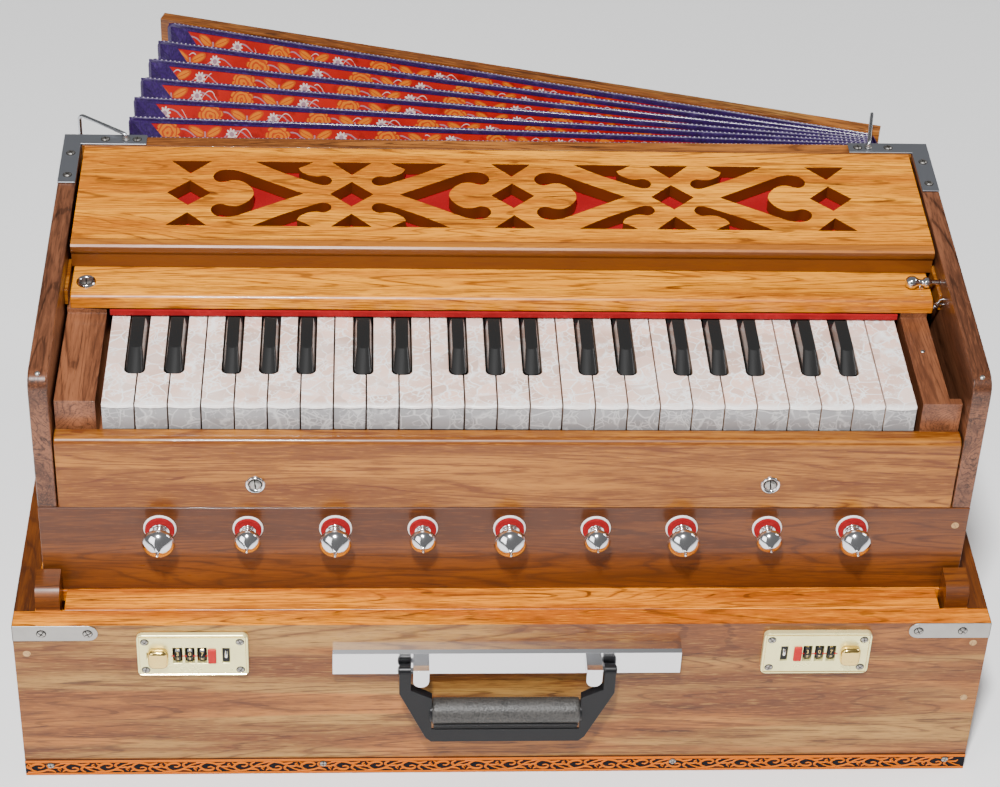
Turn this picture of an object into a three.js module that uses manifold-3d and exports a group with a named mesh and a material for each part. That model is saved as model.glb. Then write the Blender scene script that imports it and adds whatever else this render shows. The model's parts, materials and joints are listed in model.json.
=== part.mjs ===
// Indian suitcase harmonium with a fan bellows, in millimetres, +Z up.
// X runs along the keyboard, -Y faces the player, and the case stands on Z = 0.
import * as THREE from 'three';
import { mergeVertices } from 'three/addons/utils/BufferGeometryUtils.js';
import Module from 'manifold-3d';

const wasm = await Module();
wasm.setup();

// Clearances shared by the whole instrument
const seat = 0.3; // gap left at a glued or resting seat that is cut or turned
const overrun = 2; // how far a cutting tool runs past the face it leaves
const jointDepth = 1; // how far glued pieces of one solid bite into each other

// Case
const caseWidth = 678;
const caseDepth = 376;
const caseHeight = 144;
const caseWall = 15;
const bottomThickness = 6;
const plinthHeight = 15;
const plinthProud = 1;
const plinthBevel = 0.5;
const cleatSize = 12;
const deckThickness = 10;
const deckSideGap = 2;
const guideBlockWidth = 16.5;
const guideBlockDepth = 20;
const guideBlockShoulder = 13; // height of the guide block's upright face over the rim
const guideBlockRise = 20.5; // height of its rounded top over the rim
const guideBlockDrop = 24; // how far it reaches below the rim
const guideBlockFlat = 8; // flat part of its top, behind the rounding
const guideBlockRounding = 3; // how far behind the face the rounding bends
const guideNotchGap = 2.5;

// Upper unit; each rise is a height over the rim of the case
const unitWidth = 640;
const unitSetback = 37; // from the front of the case to the front of the unit
const unitDepth = 276;
const unitRise = 196; // top of the cheeks at the back
const topFall = 12; // how much lower the top line is at the front
const chestRise = 74; // where the cheeks stand on the wind chest
const cheekThickness = 13;
const cheekBend = 13;
const boardThickness = 12;
const stopBoardThickness = 14;
const slipThickness = 12;
const slipRise = 133;
const slipNose = 6;
const slipEndGap = 1;

// Keys: 25 naturals and 17 sharps, from C to F
const naturalPitch = 22;
const naturalCount = 25;
const keyGap = 1;
const keyRise = 152.6;
const keyFrontHeight = 21;
const keyFrontGap = 1.6;
const keyLength = 234;
const keyNosing = 1.4; // how far the celluloid top bulges over the front
const keyTopThickness = 2.4;
const naturalHeadLength = 33.4; // full-width part in front of the sharps
const sharpLength = 58;
const sharpHeight = 9;
const sharpBevel = 15;
const sharpNoseRadius = 5;
const sharpTopInset = 1.6;
const groupSizes = [3, 4]; // naturals from C to E and from F to B
const balanceSetback = 124; // middle of the two pivot rods
const balanceRodRadius = 1.9;
const foreignRodGap = 0.9; // around the rod of the other colour
const balanceRodOffset = 3.2; // the rod of the naturals lies behind, that of the sharps in front
const tailStart = 150; // where the lever gets thinner behind the balance rail
const tailThickness = 12;
const palletStart = 166;
const palletLength = 60;
const keyDip = 6.5;

// Key bed with the reed board, the balance rail and the front rail
const bedRise = 122;
const bedThickness = 10;
const balanceRailWidth = 12;
const frontRailWidth = 26;
const frontRailInset = 7;
const reedSlotWidth = 6;
const reedSlotLength = 44;

// Key blocks beside the keys, and the key strip over them
const keyBlockRise = 155;
const keyBlockGap = 3.5;
const keyBlockWidth = 27;
const pitWidth = 8;
const pitFrontWall = 6;
const stripSetback = 112; // from the front of the unit
const stripDepth = 43;
const stripRise = 159;
const stripThickness = 11;
const stripNose = 7;
const stripLeftEnd = 303;
const stripRightEnd = 301;
const feltThickness = 4.5;
const feltDepth = 24;
const feltEndGap = 1;

// Top lid with the fretwork
const lidThickness = 10;
const lidSideGap = 2.5;
const lidSetback = 152;
const lidBackGap = 0.8;
const lidClothThickness = 0.8;
const lidClothInset = 9;
const nosingReach = 12;
const nosingHeight = 8;
const faceRecess = 3;
const faceThickness = 9;
const fretPitch = 116;
const fretOffset = 3;
const fretHalf = 40.5; // half the height of the pierced field
const fretBackMargin = 19.4; // from the back edge of the lid to the pierced field
const triangleWidth = 29;
const triangleHeight = 17;
const diamondWidth = 31;
const diamondHeight = 32;
const scrollLength = 66;
const scrollGap = 35; // from a diamond's centre to the point of the large scroll
const wedgeLength = 69;
const wedgeCurl = 5;

// Stops
const stopCount = 9;
const stopPitch = 59.7;
const stopRise = 56;
const stopRodRadius = 3;
const stopHoleGap = 0.4;
const stopRodInside = 24;
const stopHeadRadii = [12, 9.8]; // large and small knobs take turns
const stopReachSizes = [30, 26];
const stopFeltSpace = 2.2;
// Turned knob: radius as a share of its head, distance from the board as a share of its reach
const STOP_KNOB_SHARES = [
  [0.42, 0.17],
  [0.33, 0.2],
  [0.35, 0.3],
  [0.94, 0.44],
  [1, 0.48],
  [0.93, 0.54],
  [0.62, 0.66],
  [0.24, 0.77],
  [0.13, 0.92],
  [0.13, 0.97],
];

// Handle
const railLength = 242;
const railHeight = 23;
const railDepth = 10;
const railBevel = 2;
const railBottom = 105;
const lugInset = 15; // from the outside of the handle to the middle of a lug
const lugWidth = 11;
const lugHeight = 16;
const lugRise = 5.3; // top of the lug over the pivot
const lugReach = 11;
const handlePivotHeight = 115;
const handlePivotReach = 15;
const handleEyeRadius = 4.6;
const handlePinRadius = 1.8;
const handleTopHalf = 75;
const handleTaper = 19;
const handleArmWidth = 8;
const handleWaistInset = 4;
const handleKnee = 97;
const handleInnerKnee = 92;
const handleBottom = 50;
const handleBarHeight = 12;
const gripRadius = 11;
const gripBevel = 1.2;
const gripHeight = 76;
const gripSpigotRadius = 4.5;
const gripSpigotLength = 6;

// Combination locks
const lockInset = 122; // from the end of the case to the middle of a lock
const lockWidth = 76;
const lockHeight = 38;
const lockTopDrop = 6; // below the rim
const lockThickness = 4;
const lockCornerRadius = 4;
const lockDialRadius = 7;
const lockDialWidth = 4.4;
const lockDialRim = 0.7;
const lockDialPitch = 8.4;
const lockDialOutset = 2; // the dials sit this far from the middle, away from the handle
const lockDialProud = 1.2;
const lockDialSpindle = 1.8;
const lockSlideWidth = 14;
const lockSlideHeight = 16;
const lockSlideReach = 6;
const lockSlideLip = 2;
const lockSlideTravel = 5;
const lockSlideOutset = 23.6;
const lockStemSize = 5;
const lockWindowWidth = 5;
const lockWindowInset = 22.8;
const lockWindowHeight = 14;
const lockMortiseMargin = 2;

// Corner brackets, bellows hooks and the lock pin
const bracketLength = 60;
const bracketThickness = 1.2;
const hookOffset = 275;
const hookInset = 6; // from the back of the unit to the pivot
const hookWireRadius = 1.4;
const hookArmHeight = 4;
const hookDrop = 20;
const hookBend = 2.8;
const hookClearance = 2.2;
const hookLeftSwing = 53.6;
const hookRightSwing = 12;
const pinSetback = 128;
const pinBallRadius = 4.6;
const pinKnobGap = 5.7;
const pinKnobLength = 19;
const pinShaftRadius = 1.9;
const pinShaftLength = 16;
const pinHoleGap = 0.4;
// Turned knob of the pin: radius as a share of its ball, distance from its tip as a share of its length
const PIN_KNOB_SHARES = [
  [0.7, 0.073],
  [1, 0.242],
  [0.8, 0.412],
  [0.52, 0.554],
  [0.52, 0.68],
  [0.8, 0.806],
  [0.8, 0.951],
];

// Bellows
const leafLeftInset = 43; // from the end of the unit to the open end of the leaves
const leafRightInset = 37; // from the other end of the unit to their hinge
const leafRise = 9;
const leafTopDrop = 7; // below the top of the unit
const leafPitch = 2.7; // pitch of the leaves at the hinge, and when closed
const leafAngle = 2.64; // opening of each fold at rest, in degrees
const foldCount = 6;
const ribThickness = 1.2;
const ribWidth = 30;
const frameDepth = 9;
const clothThickness = 0.7;
const foldDepth = 24;
const foldThickness = 3.5;
const foldFlat = 0.2; // half the width of a fold's flat bottom
const clothEndGap = 24;
const pumpThickness = 10;
const pumpMargin = 3;
const pumpLeftMargin = 7;
const pumpRightMargin = 6;
const inletRadius = 5;
const inletPitch = 30;
const inletCount = 4;
const airHoleRadius = 18;
const airHolePitch = 120;
const airHoleRise = 71;

// Reservoir board under the deck
const reservoirSideGap = 34;
const reservoirFrontGap = 26;
const reservoirThickness = 8;
const reservoirDrop = 6; // below the deck while the reservoir is empty

// Places worked out from the sizes above
const unitTop = caseHeight + unitRise;
const chestTop = caseHeight + chestRise;
const slipTop = caseHeight + slipRise;
const keyTop = caseHeight + keyRise;
const bedTop = caseHeight + bedRise;
const keyBlockTop = caseHeight + keyBlockRise;
const stripBottom = caseHeight + stripRise;
const stopHeight = caseHeight + stopRise;
const leafBottom = caseHeight + leafRise;
const airHoleHeight = caseHeight + airHoleRise;
const leafTop = unitTop - leafTopDrop;
const caseHalf = caseWidth / 2;
const caseFront = -caseDepth / 2;
const caseBack = caseDepth / 2;
const caseInner = caseHalf - caseWall;
const lockX = caseHalf - lockInset;
const reservoirHalfWidth = caseInner - reservoirSideGap;
const lugX = handleTopHalf - lugInset;
const handleBottomHalf = handleTopHalf - handleTaper;
const handleWaistHalf = handleBottomHalf - handleWaistInset;
const unitHalf = unitWidth / 2;
const leafHingeX = unitHalf - leafRightInset;
const leafLength = unitWidth - leafLeftInset - leafRightInset;
const cheekInner = unitHalf - cheekThickness;
const unitFront = caseFront + unitSetback;
const unitBack = unitFront + unitDepth;
const backFace = unitBack - boardThickness;
const slipBack = unitFront + slipThickness;
const slope = Math.atan2(topFall, unitDepth);
const keyboardHalf = (naturalCount * naturalPitch) / 2;
const keyFront = slipBack + keyFrontGap;
const keyBottom = keyTop - keyFrontHeight;
const balanceY = keyFront + balanceSetback;
const keyTilt = Math.atan(keyDip / balanceSetback);
const balanceRailTop = keyBottom - (balanceRailWidth / 2) * Math.tan(keyTilt) - seat;
const rodHeight = keyBottom - seat;
const rodY = (sharp) => balanceY + (sharp ? -balanceRodOffset : balanceRodOffset);
const deckBottom = caseHeight - deckThickness;
const bedBottom = bedTop - bedThickness;
const stripFront = unitFront + stripSetback;
const stripBack = stripFront + stripDepth;
const stripTop = stripBottom + stripThickness;
const railTop = railBottom + railHeight;
const railFace = caseFront - railDepth;
const lockTop = caseHeight - lockTopDrop;
const lockMiddle = lockTop - lockHeight / 2;
const hookY = unitBack - hookInset;
const pumpRest = unitBack + frameDepth + foldCount * leafPitch + pumpThickness;
const hookReach = pumpRest + hookClearance + hookWireRadius - hookY;
const topLine = (y) => unitTop - Math.tan(slope) * (unitBack - y);

// Materials
const finish = (color, roughness, metalness = 0) =>
  new THREE.MeshStandardMaterial({ color, roughness, metalness });
const teak = finish(0x9a6235, 0.35);
const goldenTeak = finish(0xcf9548, 0.32);
const darkTeak = finish(0x6e3f24, 0.38);
const chrome = finish(0xd8d8da, 0.12, 1);
const gunmetal = finish(0x777b82, 0.4, 0.9);
const brass = finish(0xe9dfb4, 0.25, 0.9);
const blackPlastic = finish(0x1b1c1f, 0.4);
const gripRubber = finish(0x57544f, 0.7);
const pearl = finish(0xe9d3cb, 0.25);
const ebony = finish(0x141416, 0.15);
const redCloth = finish(0xc4232b, 0.85);
const bellowsCloth = finish(0xd9401d, 0.75);
const ribCard = finish(0x3d2a86, 0.6);
const steel = finish(0xb9bcc2, 0.3, 1);

// Solid helpers
const solidOf = (geometry) => {
  const bare = geometry.clone();
  bare.deleteAttribute('normal');
  bare.deleteAttribute('uv');
  const merged = mergeVertices(bare, 1e-4);
  const mesh = new wasm.Mesh({
    numProp: 3,
    vertProperties: new Float32Array(merged.attributes.position.array),
    triVerts: new Uint32Array(merged.index.array),
  });
  return new wasm.Manifold(mesh);
};

const geometryOf = (solid) => {
  const mesh = solid.getMesh();
  const geometry = new THREE.BufferGeometry();
  geometry.setAttribute('position', new THREE.BufferAttribute(mesh.vertProperties, 3));
  geometry.setIndex(new THREE.BufferAttribute(mesh.triVerts, 1));
  const flat = geometry.toNonIndexed();
  flat.computeVertexNormals();
  return flat;
};

const join = (...pieces) =>
  geometryOf(pieces.map(solidOf).reduce((whole, piece) => whole.add(piece)));

const cut = (body, ...tools) =>
  geometryOf(tools.map(solidOf).reduce((whole, tool) => whole.subtract(tool), solidOf(body)));

const common = (one, other) => geometryOf(solidOf(one).intersect(solidOf(other)));

const block = (x0, x1, y0, y1, z0, z1) =>
  new THREE.BoxGeometry(x1 - x0, y1 - y0, z1 - z0).translate(
    (x0 + x1) / 2,
    (y0 + y1) / 2,
    (z0 + z1) / 2,
  );

const outline = (points) => new THREE.Shape(points.map(([a, b]) => new THREE.Vector2(a, b)));

const AXES = {
  x: [new THREE.Vector3(0, 1, 0), new THREE.Vector3(0, 0, 1), new THREE.Vector3(1, 0, 0)],
  y: [new THREE.Vector3(0, 0, 1), new THREE.Vector3(1, 0, 0), new THREE.Vector3(0, 1, 0)],
  z: [new THREE.Vector3(1, 0, 0), new THREE.Vector3(0, 1, 0), new THREE.Vector3(0, 0, 1)],
};

// Extrudes an outline along an axis; the outline lies in (Y, Z), (Z, X) or (X, Y)
const extrude = (shape, axis, from, to, curveSegments = 4) => {
  const geometry = new THREE.ExtrudeGeometry(shape, {
    depth: to - from,
    bevelEnabled: false,
    curveSegments,
  });
  const place = new THREE.Matrix4().makeBasis(...AXES[axis]);
  place.setPosition(AXES[axis][2].clone().multiplyScalar(from));
  return geometry.applyMatrix4(place);
};

// Turns a profile of [radius, along] points about an axis, facing outwards
const turn = (profile, axis, segments = 12) => {
  const points = profile.map(([radius, along]) => new THREE.Vector2(radius, along));
  const lathe = new THREE.LatheGeometry(points, segments);
  const basis = {
    x: [AXES.x[1], AXES.x[2], AXES.x[0]],
    y: [AXES.x[2], AXES.x[0], AXES.x[1]],
    z: [AXES.x[0], AXES.x[1], AXES.x[2]],
  }[axis];
  const place = new THREE.Matrix4().makeBasis(basis[0], basis[1], basis[2]);
  return outward(lathe.applyMatrix4(place));
};

const outward = (geometry) => {
  const position = geometry.attributes.position;
  const index = geometry.index.array;
  const [a, b, c] = [0, 1, 2].map(() => new THREE.Vector3());
  let volume = 0;
  for (let i = 0; i < index.length; i += 3) {
    a.fromBufferAttribute(position, index[i]);
    b.fromBufferAttribute(position, index[i + 1]);
    c.fromBufferAttribute(position, index[i + 2]);
    volume += a.dot(b.cross(c));
  }
  if (volume < 0) {
    for (let i = 0; i < index.length; i += 3) {
      [index[i], index[i + 1]] = [index[i + 1], index[i]];
    }
  }
  return geometry;
};

const rod = (radius, axis, from, to, segments = 10) =>
  turn([[0, from], [radius, from], [radius, to], [0, to]], axis, segments);

// Sweeps a round section along a path of straight runs with rounded corners
const wire = (points, radius, bend, sides = 6) => {
  const path = new THREE.CurvePath();
  let start = points[0];
  for (let i = 1; i < points.length - 1; i += 1) {
    const corner = points[i];
    const before = corner.clone().lerp(points[i - 1], bend / corner.distanceTo(points[i - 1]));
    const after = corner.clone().lerp(points[i + 1], bend / corner.distanceTo(points[i + 1]));
    path.add(new THREE.LineCurve3(start, before));
    path.add(new THREE.QuadraticBezierCurve3(before, corner, after));
    start = after;
  }
  path.add(new THREE.LineCurve3(start, points[points.length - 1]));
  const section = new THREE.Shape();
  section.absarc(0, 0, radius, 0, 2 * Math.PI);
  return new THREE.ExtrudeGeometry(section, {
    extrudePath: path,
    steps: 24,
    bevelEnabled: false,
    curveSegments: sides,
  });
};

const harmonium = new THREE.Group();
const add = (name, geometry, material, parent = harmonium) => {
  const mesh = new THREE.Mesh(geometry, material);
  mesh.name = name;
  parent.add(mesh);
  return mesh;
};
const SIDES = [['left', -1], ['right', 1]];

// Case walls: front, back and sides with their cleats and the guide blocks in the front corners
const guideBlock = (side) => {
  const front = caseFront + caseWall;
  const back = front + guideBlockDepth;
  const shape = outline([
    [front - jointDepth, caseHeight - guideBlockDrop],
    [back, caseHeight - guideBlockDrop],
    [back, caseHeight + guideBlockRise],
  ]);
  shape.lineTo(back - guideBlockFlat, caseHeight + guideBlockRise - jointDepth);
  shape.quadraticCurveTo(
    front + guideBlockRounding,
    caseHeight + guideBlockRise - jointDepth,
    front,
    caseHeight + guideBlockShoulder,
  );
  shape.lineTo(front, caseHeight);
  shape.lineTo(front - jointDepth, caseHeight);
  const inner = side * (caseInner - guideBlockWidth);
  const outer = side * (caseInner + jointDepth);
  const [from, to] = side < 0 ? [outer, inner] : [inner, outer];
  const whole = extrude(shape, 'x', from, to, 3);
  const spare = block(
    ...(side < 0 ? [from - overrun, -caseInner] : [caseInner, to + overrun]),
    front - overrun,
    back + overrun,
    caseHeight,
    caseHeight + guideBlockRise + overrun,
  );
  return cut(whole, spare);
};

const caseWalls = () => {
  const cleatTop = deckBottom - seat;
  const cleatBottom = cleatTop - cleatSize;
  const insideFront = caseFront + caseWall;
  const insideBack = caseBack - caseWall;
  const sides = SIDES.flatMap(([, side]) => {
    const [x0, x1] = side < 0 ? [-caseHalf, -caseInner] : [caseInner, caseHalf];
    const [c0, c1] = side < 0
      ? [-caseInner - jointDepth, -caseInner + cleatSize]
      : [caseInner - cleatSize, caseInner + jointDepth];
    return [
      block(x0, x1, insideFront - jointDepth, insideBack + jointDepth, 0, caseHeight),
      block(c0, c1, insideFront, insideBack, cleatBottom, cleatTop),
    ];
  });
  const cleats = [
    block(-caseInner, caseInner, insideFront - jointDepth, insideFront + cleatSize, cleatBottom, cleatTop),
    block(-caseInner, caseInner, insideBack - cleatSize, insideBack + jointDepth, cleatBottom, cleatTop),
  ];
  const front = block(-caseHalf, caseHalf, caseFront, insideFront, plinthHeight, caseHeight);
  const back = block(-caseHalf, caseHalf, insideBack, caseBack, 0, caseHeight);
  const corners = SIDES.map(([, side]) => {
    const [x0, x1] = side < 0 ? [-caseHalf, -caseInner] : [caseInner, caseHalf];
    return block(x0, x1, caseFront, insideFront, plinthHeight, caseHeight);
  });
  const walls = join(front, back, ...sides, ...cleats, ...corners, guideBlock(-1), guideBlock(1));
  return cut(walls, ...SIDES.map(([, side]) => lockMortise(side)));
};

// Pocket in the case front for the dials and the slide of one lock
const lockMortise = (side) => {
  const depth = 2 * lockDialRadius - lockDialProud - lockThickness + lockMortiseMargin;
  const half = lockWidth / 2 - lockCornerRadius;
  return block(
    side * lockX - half,
    side * lockX + half,
    caseFront - overrun,
    caseFront + depth,
    lockMiddle - lockDialRadius - lockMortiseMargin,
    lockMiddle + lockDialRadius + lockMortiseMargin,
  );
};

const plinthRail = () => {
  const face = caseFront - plinthProud;
  const shape = outline([
    [face + plinthBevel, 0],
    [caseFront + caseWall - jointDepth - seat, 0],
    [caseFront + caseWall - jointDepth - seat, plinthHeight - seat],
    [face + plinthBevel, plinthHeight - seat],
    [face, plinthHeight - seat - plinthBevel],
    [face, plinthBevel],
  ]);
  return extrude(shape, 'x', -caseHalf, caseHalf);
};

const deck = () => {
  const back = caseBack - caseWall - seat;
  const front = caseFront + caseWall + seat;
  const half = caseInner - deckSideGap;
  const notch = caseInner - guideBlockWidth - guideNotchGap;
  const notchBack = caseFront + caseWall + guideBlockDepth + seat;
  const shape = outline([
    [-notch, front],
    [notch, front],
    [notch, notchBack],
    [half, notchBack],
    [half, back],
    [-half, back],
    [-half, notchBack],
    [-notch, notchBack],
  ]);
  return extrude(shape, 'z', deckBottom, caseHeight);
};

const caseBottom = () =>
  block(
    -caseInner + seat,
    caseInner - seat,
    caseFront + caseWall + seat,
    caseBack - caseWall - seat,
    0,
    bottomThickness,
  );

add('case_walls', caseWalls(), teak);
add('case_bottom', caseBottom(), teak);
add('plinth_rail', plinthRail(), teak);
add('deck', deck(), goldenTeak);

// Reservoir board, hinged along its back edge below the deck
const reservoirBack = caseBack - caseWall - cleatSize - seat;
const reservoirTop = deckBottom - reservoirDrop;
add(
  'reservoir_board',
  block(
    -reservoirHalfWidth,
    reservoirHalfWidth,
    caseFront + caseWall + reservoirFrontGap,
    reservoirBack,
    reservoirTop - reservoirThickness,
    reservoirTop,
  ),
  teak,
);

// Handle rail with its two lugs and hinge pins
const handleY = caseFront - handlePivotReach;
const handleRail = () => {
  const shape = outline([
    [caseFront, railBottom],
    [caseFront, railTop],
    [railFace + railBevel, railTop],
    [railFace, railTop - railBevel],
    [railFace, railBottom + railBevel],
    [railFace + railBevel, railBottom],
  ]);
  const pieces = [extrude(shape, 'x', -railLength / 2, railLength / 2)];
  for (const [, side] of SIDES) {
    const lug = new THREE.Shape();
    const x = side * lugX;
    const half = lugWidth / 2;
    const top = handlePivotHeight + lugRise;
    const bottom = top - lugHeight + half;
    lug.moveTo(top, x - half);
    lug.lineTo(top, x + half);
    lug.lineTo(bottom, x + half);
    lug.absarc(bottom, x, half, Math.PI / 2, (3 * Math.PI) / 2);
    lug.lineTo(top, x - half);
    pieces.push(extrude(lug, 'y', railFace - lugReach, railFace + jointDepth));
    const tip = side * (handleTopHalf - seat);
    const root = side * (lugX + half - jointDepth);
    const pin = rod(handlePinRadius, 'x', Math.min(tip, root), Math.max(tip, root), 8);
    pieces.push(pin.translate(0, handleY, handlePivotHeight));
  }
  return join(...pieces);
};

// Moulded handle: the front outline crossed with a side outline that rounds the two eyes
const handleFrame = () => {
  const top = handlePivotHeight + handleEyeRadius + overrun;
  const foot = handleBottomHalf - handleArmWidth / 2;
  const innerTop = handleTopHalf - handleArmWidth;
  const barTop = handleBottom + handleBarHeight;
  const mirrored = (points) => [
    ...points,
    ...points.slice().reverse().map(([z, x]) => [z, -x]),
  ];
  const outer = outline(
    mirrored([
      [top, handleTopHalf],
      [handleKnee, handleTopHalf],
      [handleBottom + handleArmWidth / 2, handleBottomHalf],
      [handleBottom, foot],
    ]),
  );
  const inner = outline(
    mirrored([
      [top + overrun, innerTop],
      [handleInnerKnee + handleArmWidth, innerTop],
      [handleInnerKnee, handleWaistHalf],
      [barTop, handleWaistHalf],
    ]),
  );
  const depth = 2 * handleEyeRadius;
  const body = cut(
    extrude(outer, 'y', handleY - depth, handleY + depth),
    extrude(inner, 'y', handleY - depth - overrun, handleY + depth + overrun),
  );
  const profile = new THREE.Shape();
  profile.moveTo(handleY + handleEyeRadius, handleBottom);
  profile.absarc(handleY, handlePivotHeight, handleEyeRadius, 0, Math.PI);
  profile.lineTo(handleY - handleEyeRadius, handleBottom);
  const trimmed = common(body, extrude(profile, 'x', -handleTopHalf, handleTopHalf));
  const spigots = SIDES.map(([, side]) => {
    const root = side * (handleWaistHalf + jointDepth);
    const tip = side * (handleWaistHalf - gripSpigotLength);
    const pin = rod(gripSpigotRadius, 'x', Math.min(tip, root), Math.max(tip, root), 8);
    return pin.translate(0, handleY, gripHeight);
  });
  const bore = rod(handlePinRadius + seat, 'x', -handleTopHalf - overrun, handleTopHalf + overrun, 8);
  return cut(join(trimmed, ...spigots), bore.translate(0, handleY, handlePivotHeight));
};

const handleGrip = () => {
  const half = handleWaistHalf - seat;
  const bore = gripSpigotRadius + seat;
  const boreDepth = gripSpigotLength + seat;
  const profile = [
    [0, -half + boreDepth],
    [bore, -half + boreDepth],
    [bore, -half],
    [gripRadius - gripBevel, -half],
    [gripRadius, -half + gripBevel],
    [gripRadius, half - gripBevel],
    [gripRadius - gripBevel, half],
    [bore, half],
    [bore, half - boreDepth],
    [0, half - boreDepth],
  ];
  return turn(profile, 'x', 14).translate(0, handleY, gripHeight);
};

add('handle_rail', handleRail(), chrome);
add('handle', handleFrame(), blackPlastic);
add('handle_grip', handleGrip(), gripRubber);

// Combination locks, mirror images of each other
const roundedRectangle = (z0, z1, x0, x1, radius) => {
  const shape = new THREE.Shape();
  shape.moveTo(z0 + radius, x0);
  shape.absarc(z1 - radius, x0 + radius, radius, -Math.PI / 2, 0);
  shape.absarc(z1 - radius, x1 - radius, radius, 0, Math.PI / 2);
  shape.absarc(z0 + radius, x1 - radius, radius, Math.PI / 2, Math.PI);
  shape.absarc(z0 + radius, x0 + radius, radius, Math.PI, 1.5 * Math.PI);
  return shape;
};

const dialPlaces = (side) =>
  [-1, 0, 1].map((step) => side * (lockX + lockDialOutset) + step * lockDialPitch);
const lockFace = caseFront - lockThickness;
const dialY = lockFace - lockDialProud + lockDialRadius;
const slideX = (side) => side * (lockX + lockSlideOutset);

const lockPlate = (side) => {
  const x = side * lockX;
  const shape = roundedRectangle(
    lockTop - lockHeight,
    lockTop,
    x - lockWidth / 2,
    x + lockWidth / 2,
    lockCornerRadius,
  );
  const plate = extrude(shape, 'y', lockFace, caseFront, 2);
  const slot = lockDialWidth / 2 + lockDialRim + seat;
  const window = side * (lockX - lockWindowInset);
  const tools = dialPlaces(side).map((place) =>
    block(
      place - slot,
      place + slot,
      lockFace - overrun,
      caseFront + overrun,
      lockMiddle - lockDialRadius - seat,
      lockMiddle + lockDialRadius + seat,
    ),
  );
  tools.push(
    block(
      window - lockWindowWidth / 2,
      window + lockWindowWidth / 2,
      lockFace - overrun,
      caseFront + overrun,
      lockMiddle - lockWindowHeight / 2,
      lockMiddle + lockWindowHeight / 2,
    ),
  );
  const stem = lockStemSize / 2 + seat;
  const stemEnds = [slideX(side) - stem, slideX(side) + stem];
  stemEnds[side < 0 ? 0 : 1] += side * lockSlideTravel;
  tools.push(
    block(
      ...stemEnds,
      lockFace - overrun,
      caseFront + overrun,
      lockMiddle - stem,
      lockMiddle + stem,
    ),
  );
  return cut(plate, ...tools);
};

const lockSlide = (side) => {
  const x = slideX(side);
  const half = lockSlideWidth / 2;
  const shape = outline([
    [lockFace - seat, lockMiddle - lockSlideHeight / 2],
    [lockFace - seat, lockMiddle + lockSlideHeight / 2],
    [lockFace - lockSlideReach + lockSlideLip, lockMiddle + lockSlideHeight / 2 - lockSlideLip],
    [lockFace - lockSlideReach, lockMiddle + lockSlideLip],
    [lockFace - lockSlideReach + lockSlideLip, lockMiddle - lockSlideHeight / 2],
  ]);
  const stem = lockStemSize / 2;
  return join(
    extrude(shape, 'x', x - half, x + half),
    block(
      x - stem,
      x + stem,
      lockFace - seat - jointDepth,
      caseFront + lockDialRadius,
      lockMiddle - stem,
      lockMiddle + stem,
    ),
  );
};

// Three number wheels on one spindle
const lockDials = (side) => {
  const places = dialPlaces(side);
  const half = lockDialWidth / 2;
  const rim = lockDialRim;
  const profile = [[0, places[0] - half - rim]];
  for (const place of places) {
    profile.push([lockDialSpindle, place - half - rim]);
    profile.push([lockDialRadius - rim, place - half]);
    profile.push([lockDialRadius, place - half + rim]);
    profile.push([lockDialRadius, place + half - rim]);
    profile.push([lockDialRadius - rim, place + half]);
    profile.push([lockDialSpindle, place + half + rim]);
  }
  profile.push([0, places[2] + half + rim]);
  return turn(profile, 'x', 10).translate(0, dialY, lockMiddle);
};

for (const [name, side] of SIDES) {
  add(`lock_plate_${name}`, lockPlate(side), brass);
  add(`lock_slide_${name}`, lockSlide(side), brass);
  add(`lock_dials_${name}`, lockDials(side), blackPlastic);
}

// Wind chest: side boards, the back board up to the top rail, and the fixed bellows frame
const leafOuter = leafHingeX - leafLength;
const windChest = () => {
  const bottom = caseHeight;
  const joinTop = chestTop - seat;
  const inFront = unitFront + stopBoardThickness + seat;
  const frameBack = unitBack + frameDepth;
  const pieces = [
    block(-unitHalf, -cheekInner, inFront, unitBack, bottom, joinTop),
    block(cheekInner, unitHalf, inFront, unitBack, bottom, joinTop),
    block(-unitHalf, unitHalf, backFace, unitBack, bottom, joinTop),
    block(-cheekInner + seat, cheekInner - seat, backFace, unitBack, bottom, topLine(backFace)),
    block(leafOuter, leafHingeX, unitBack - jointDepth, frameBack, leafBottom, leafTop),
  ];
  const inside = block(
    leafOuter + ribWidth,
    leafHingeX - ribWidth,
    unitBack,
    frameBack + overrun,
    leafBottom + ribWidth,
    leafTop - ribWidth,
  );
  const airHoles = [-1, 0, 1].map((step) =>
    rod(airHoleRadius, 'y', backFace - overrun, unitBack + overrun, 14).translate(
      step * airHolePitch,
      0,
      airHoleHeight,
    ),
  );
  return cut(join(...pieces), inside, ...airHoles);
};

const stopPlaces = Array.from(
  { length: stopCount },
  (_, i) => (i - (stopCount - 1) / 2) * stopPitch,
);

const stopBoard = () => {
  const shape = outline([
    [caseHeight, -unitHalf],
    [chestTop - seat, -unitHalf],
    [chestTop - seat, unitHalf],
    [caseHeight, unitHalf],
  ]);
  for (const x of stopPlaces) {
    const hole = new THREE.Path();
    hole.absarc(stopHeight, x, stopRodRadius + stopHoleGap, 0, 2 * Math.PI);
    shape.holes.push(hole);
  }
  return extrude(shape, 'y', unitFront, unitFront + stopBoardThickness, 5);
};

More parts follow.
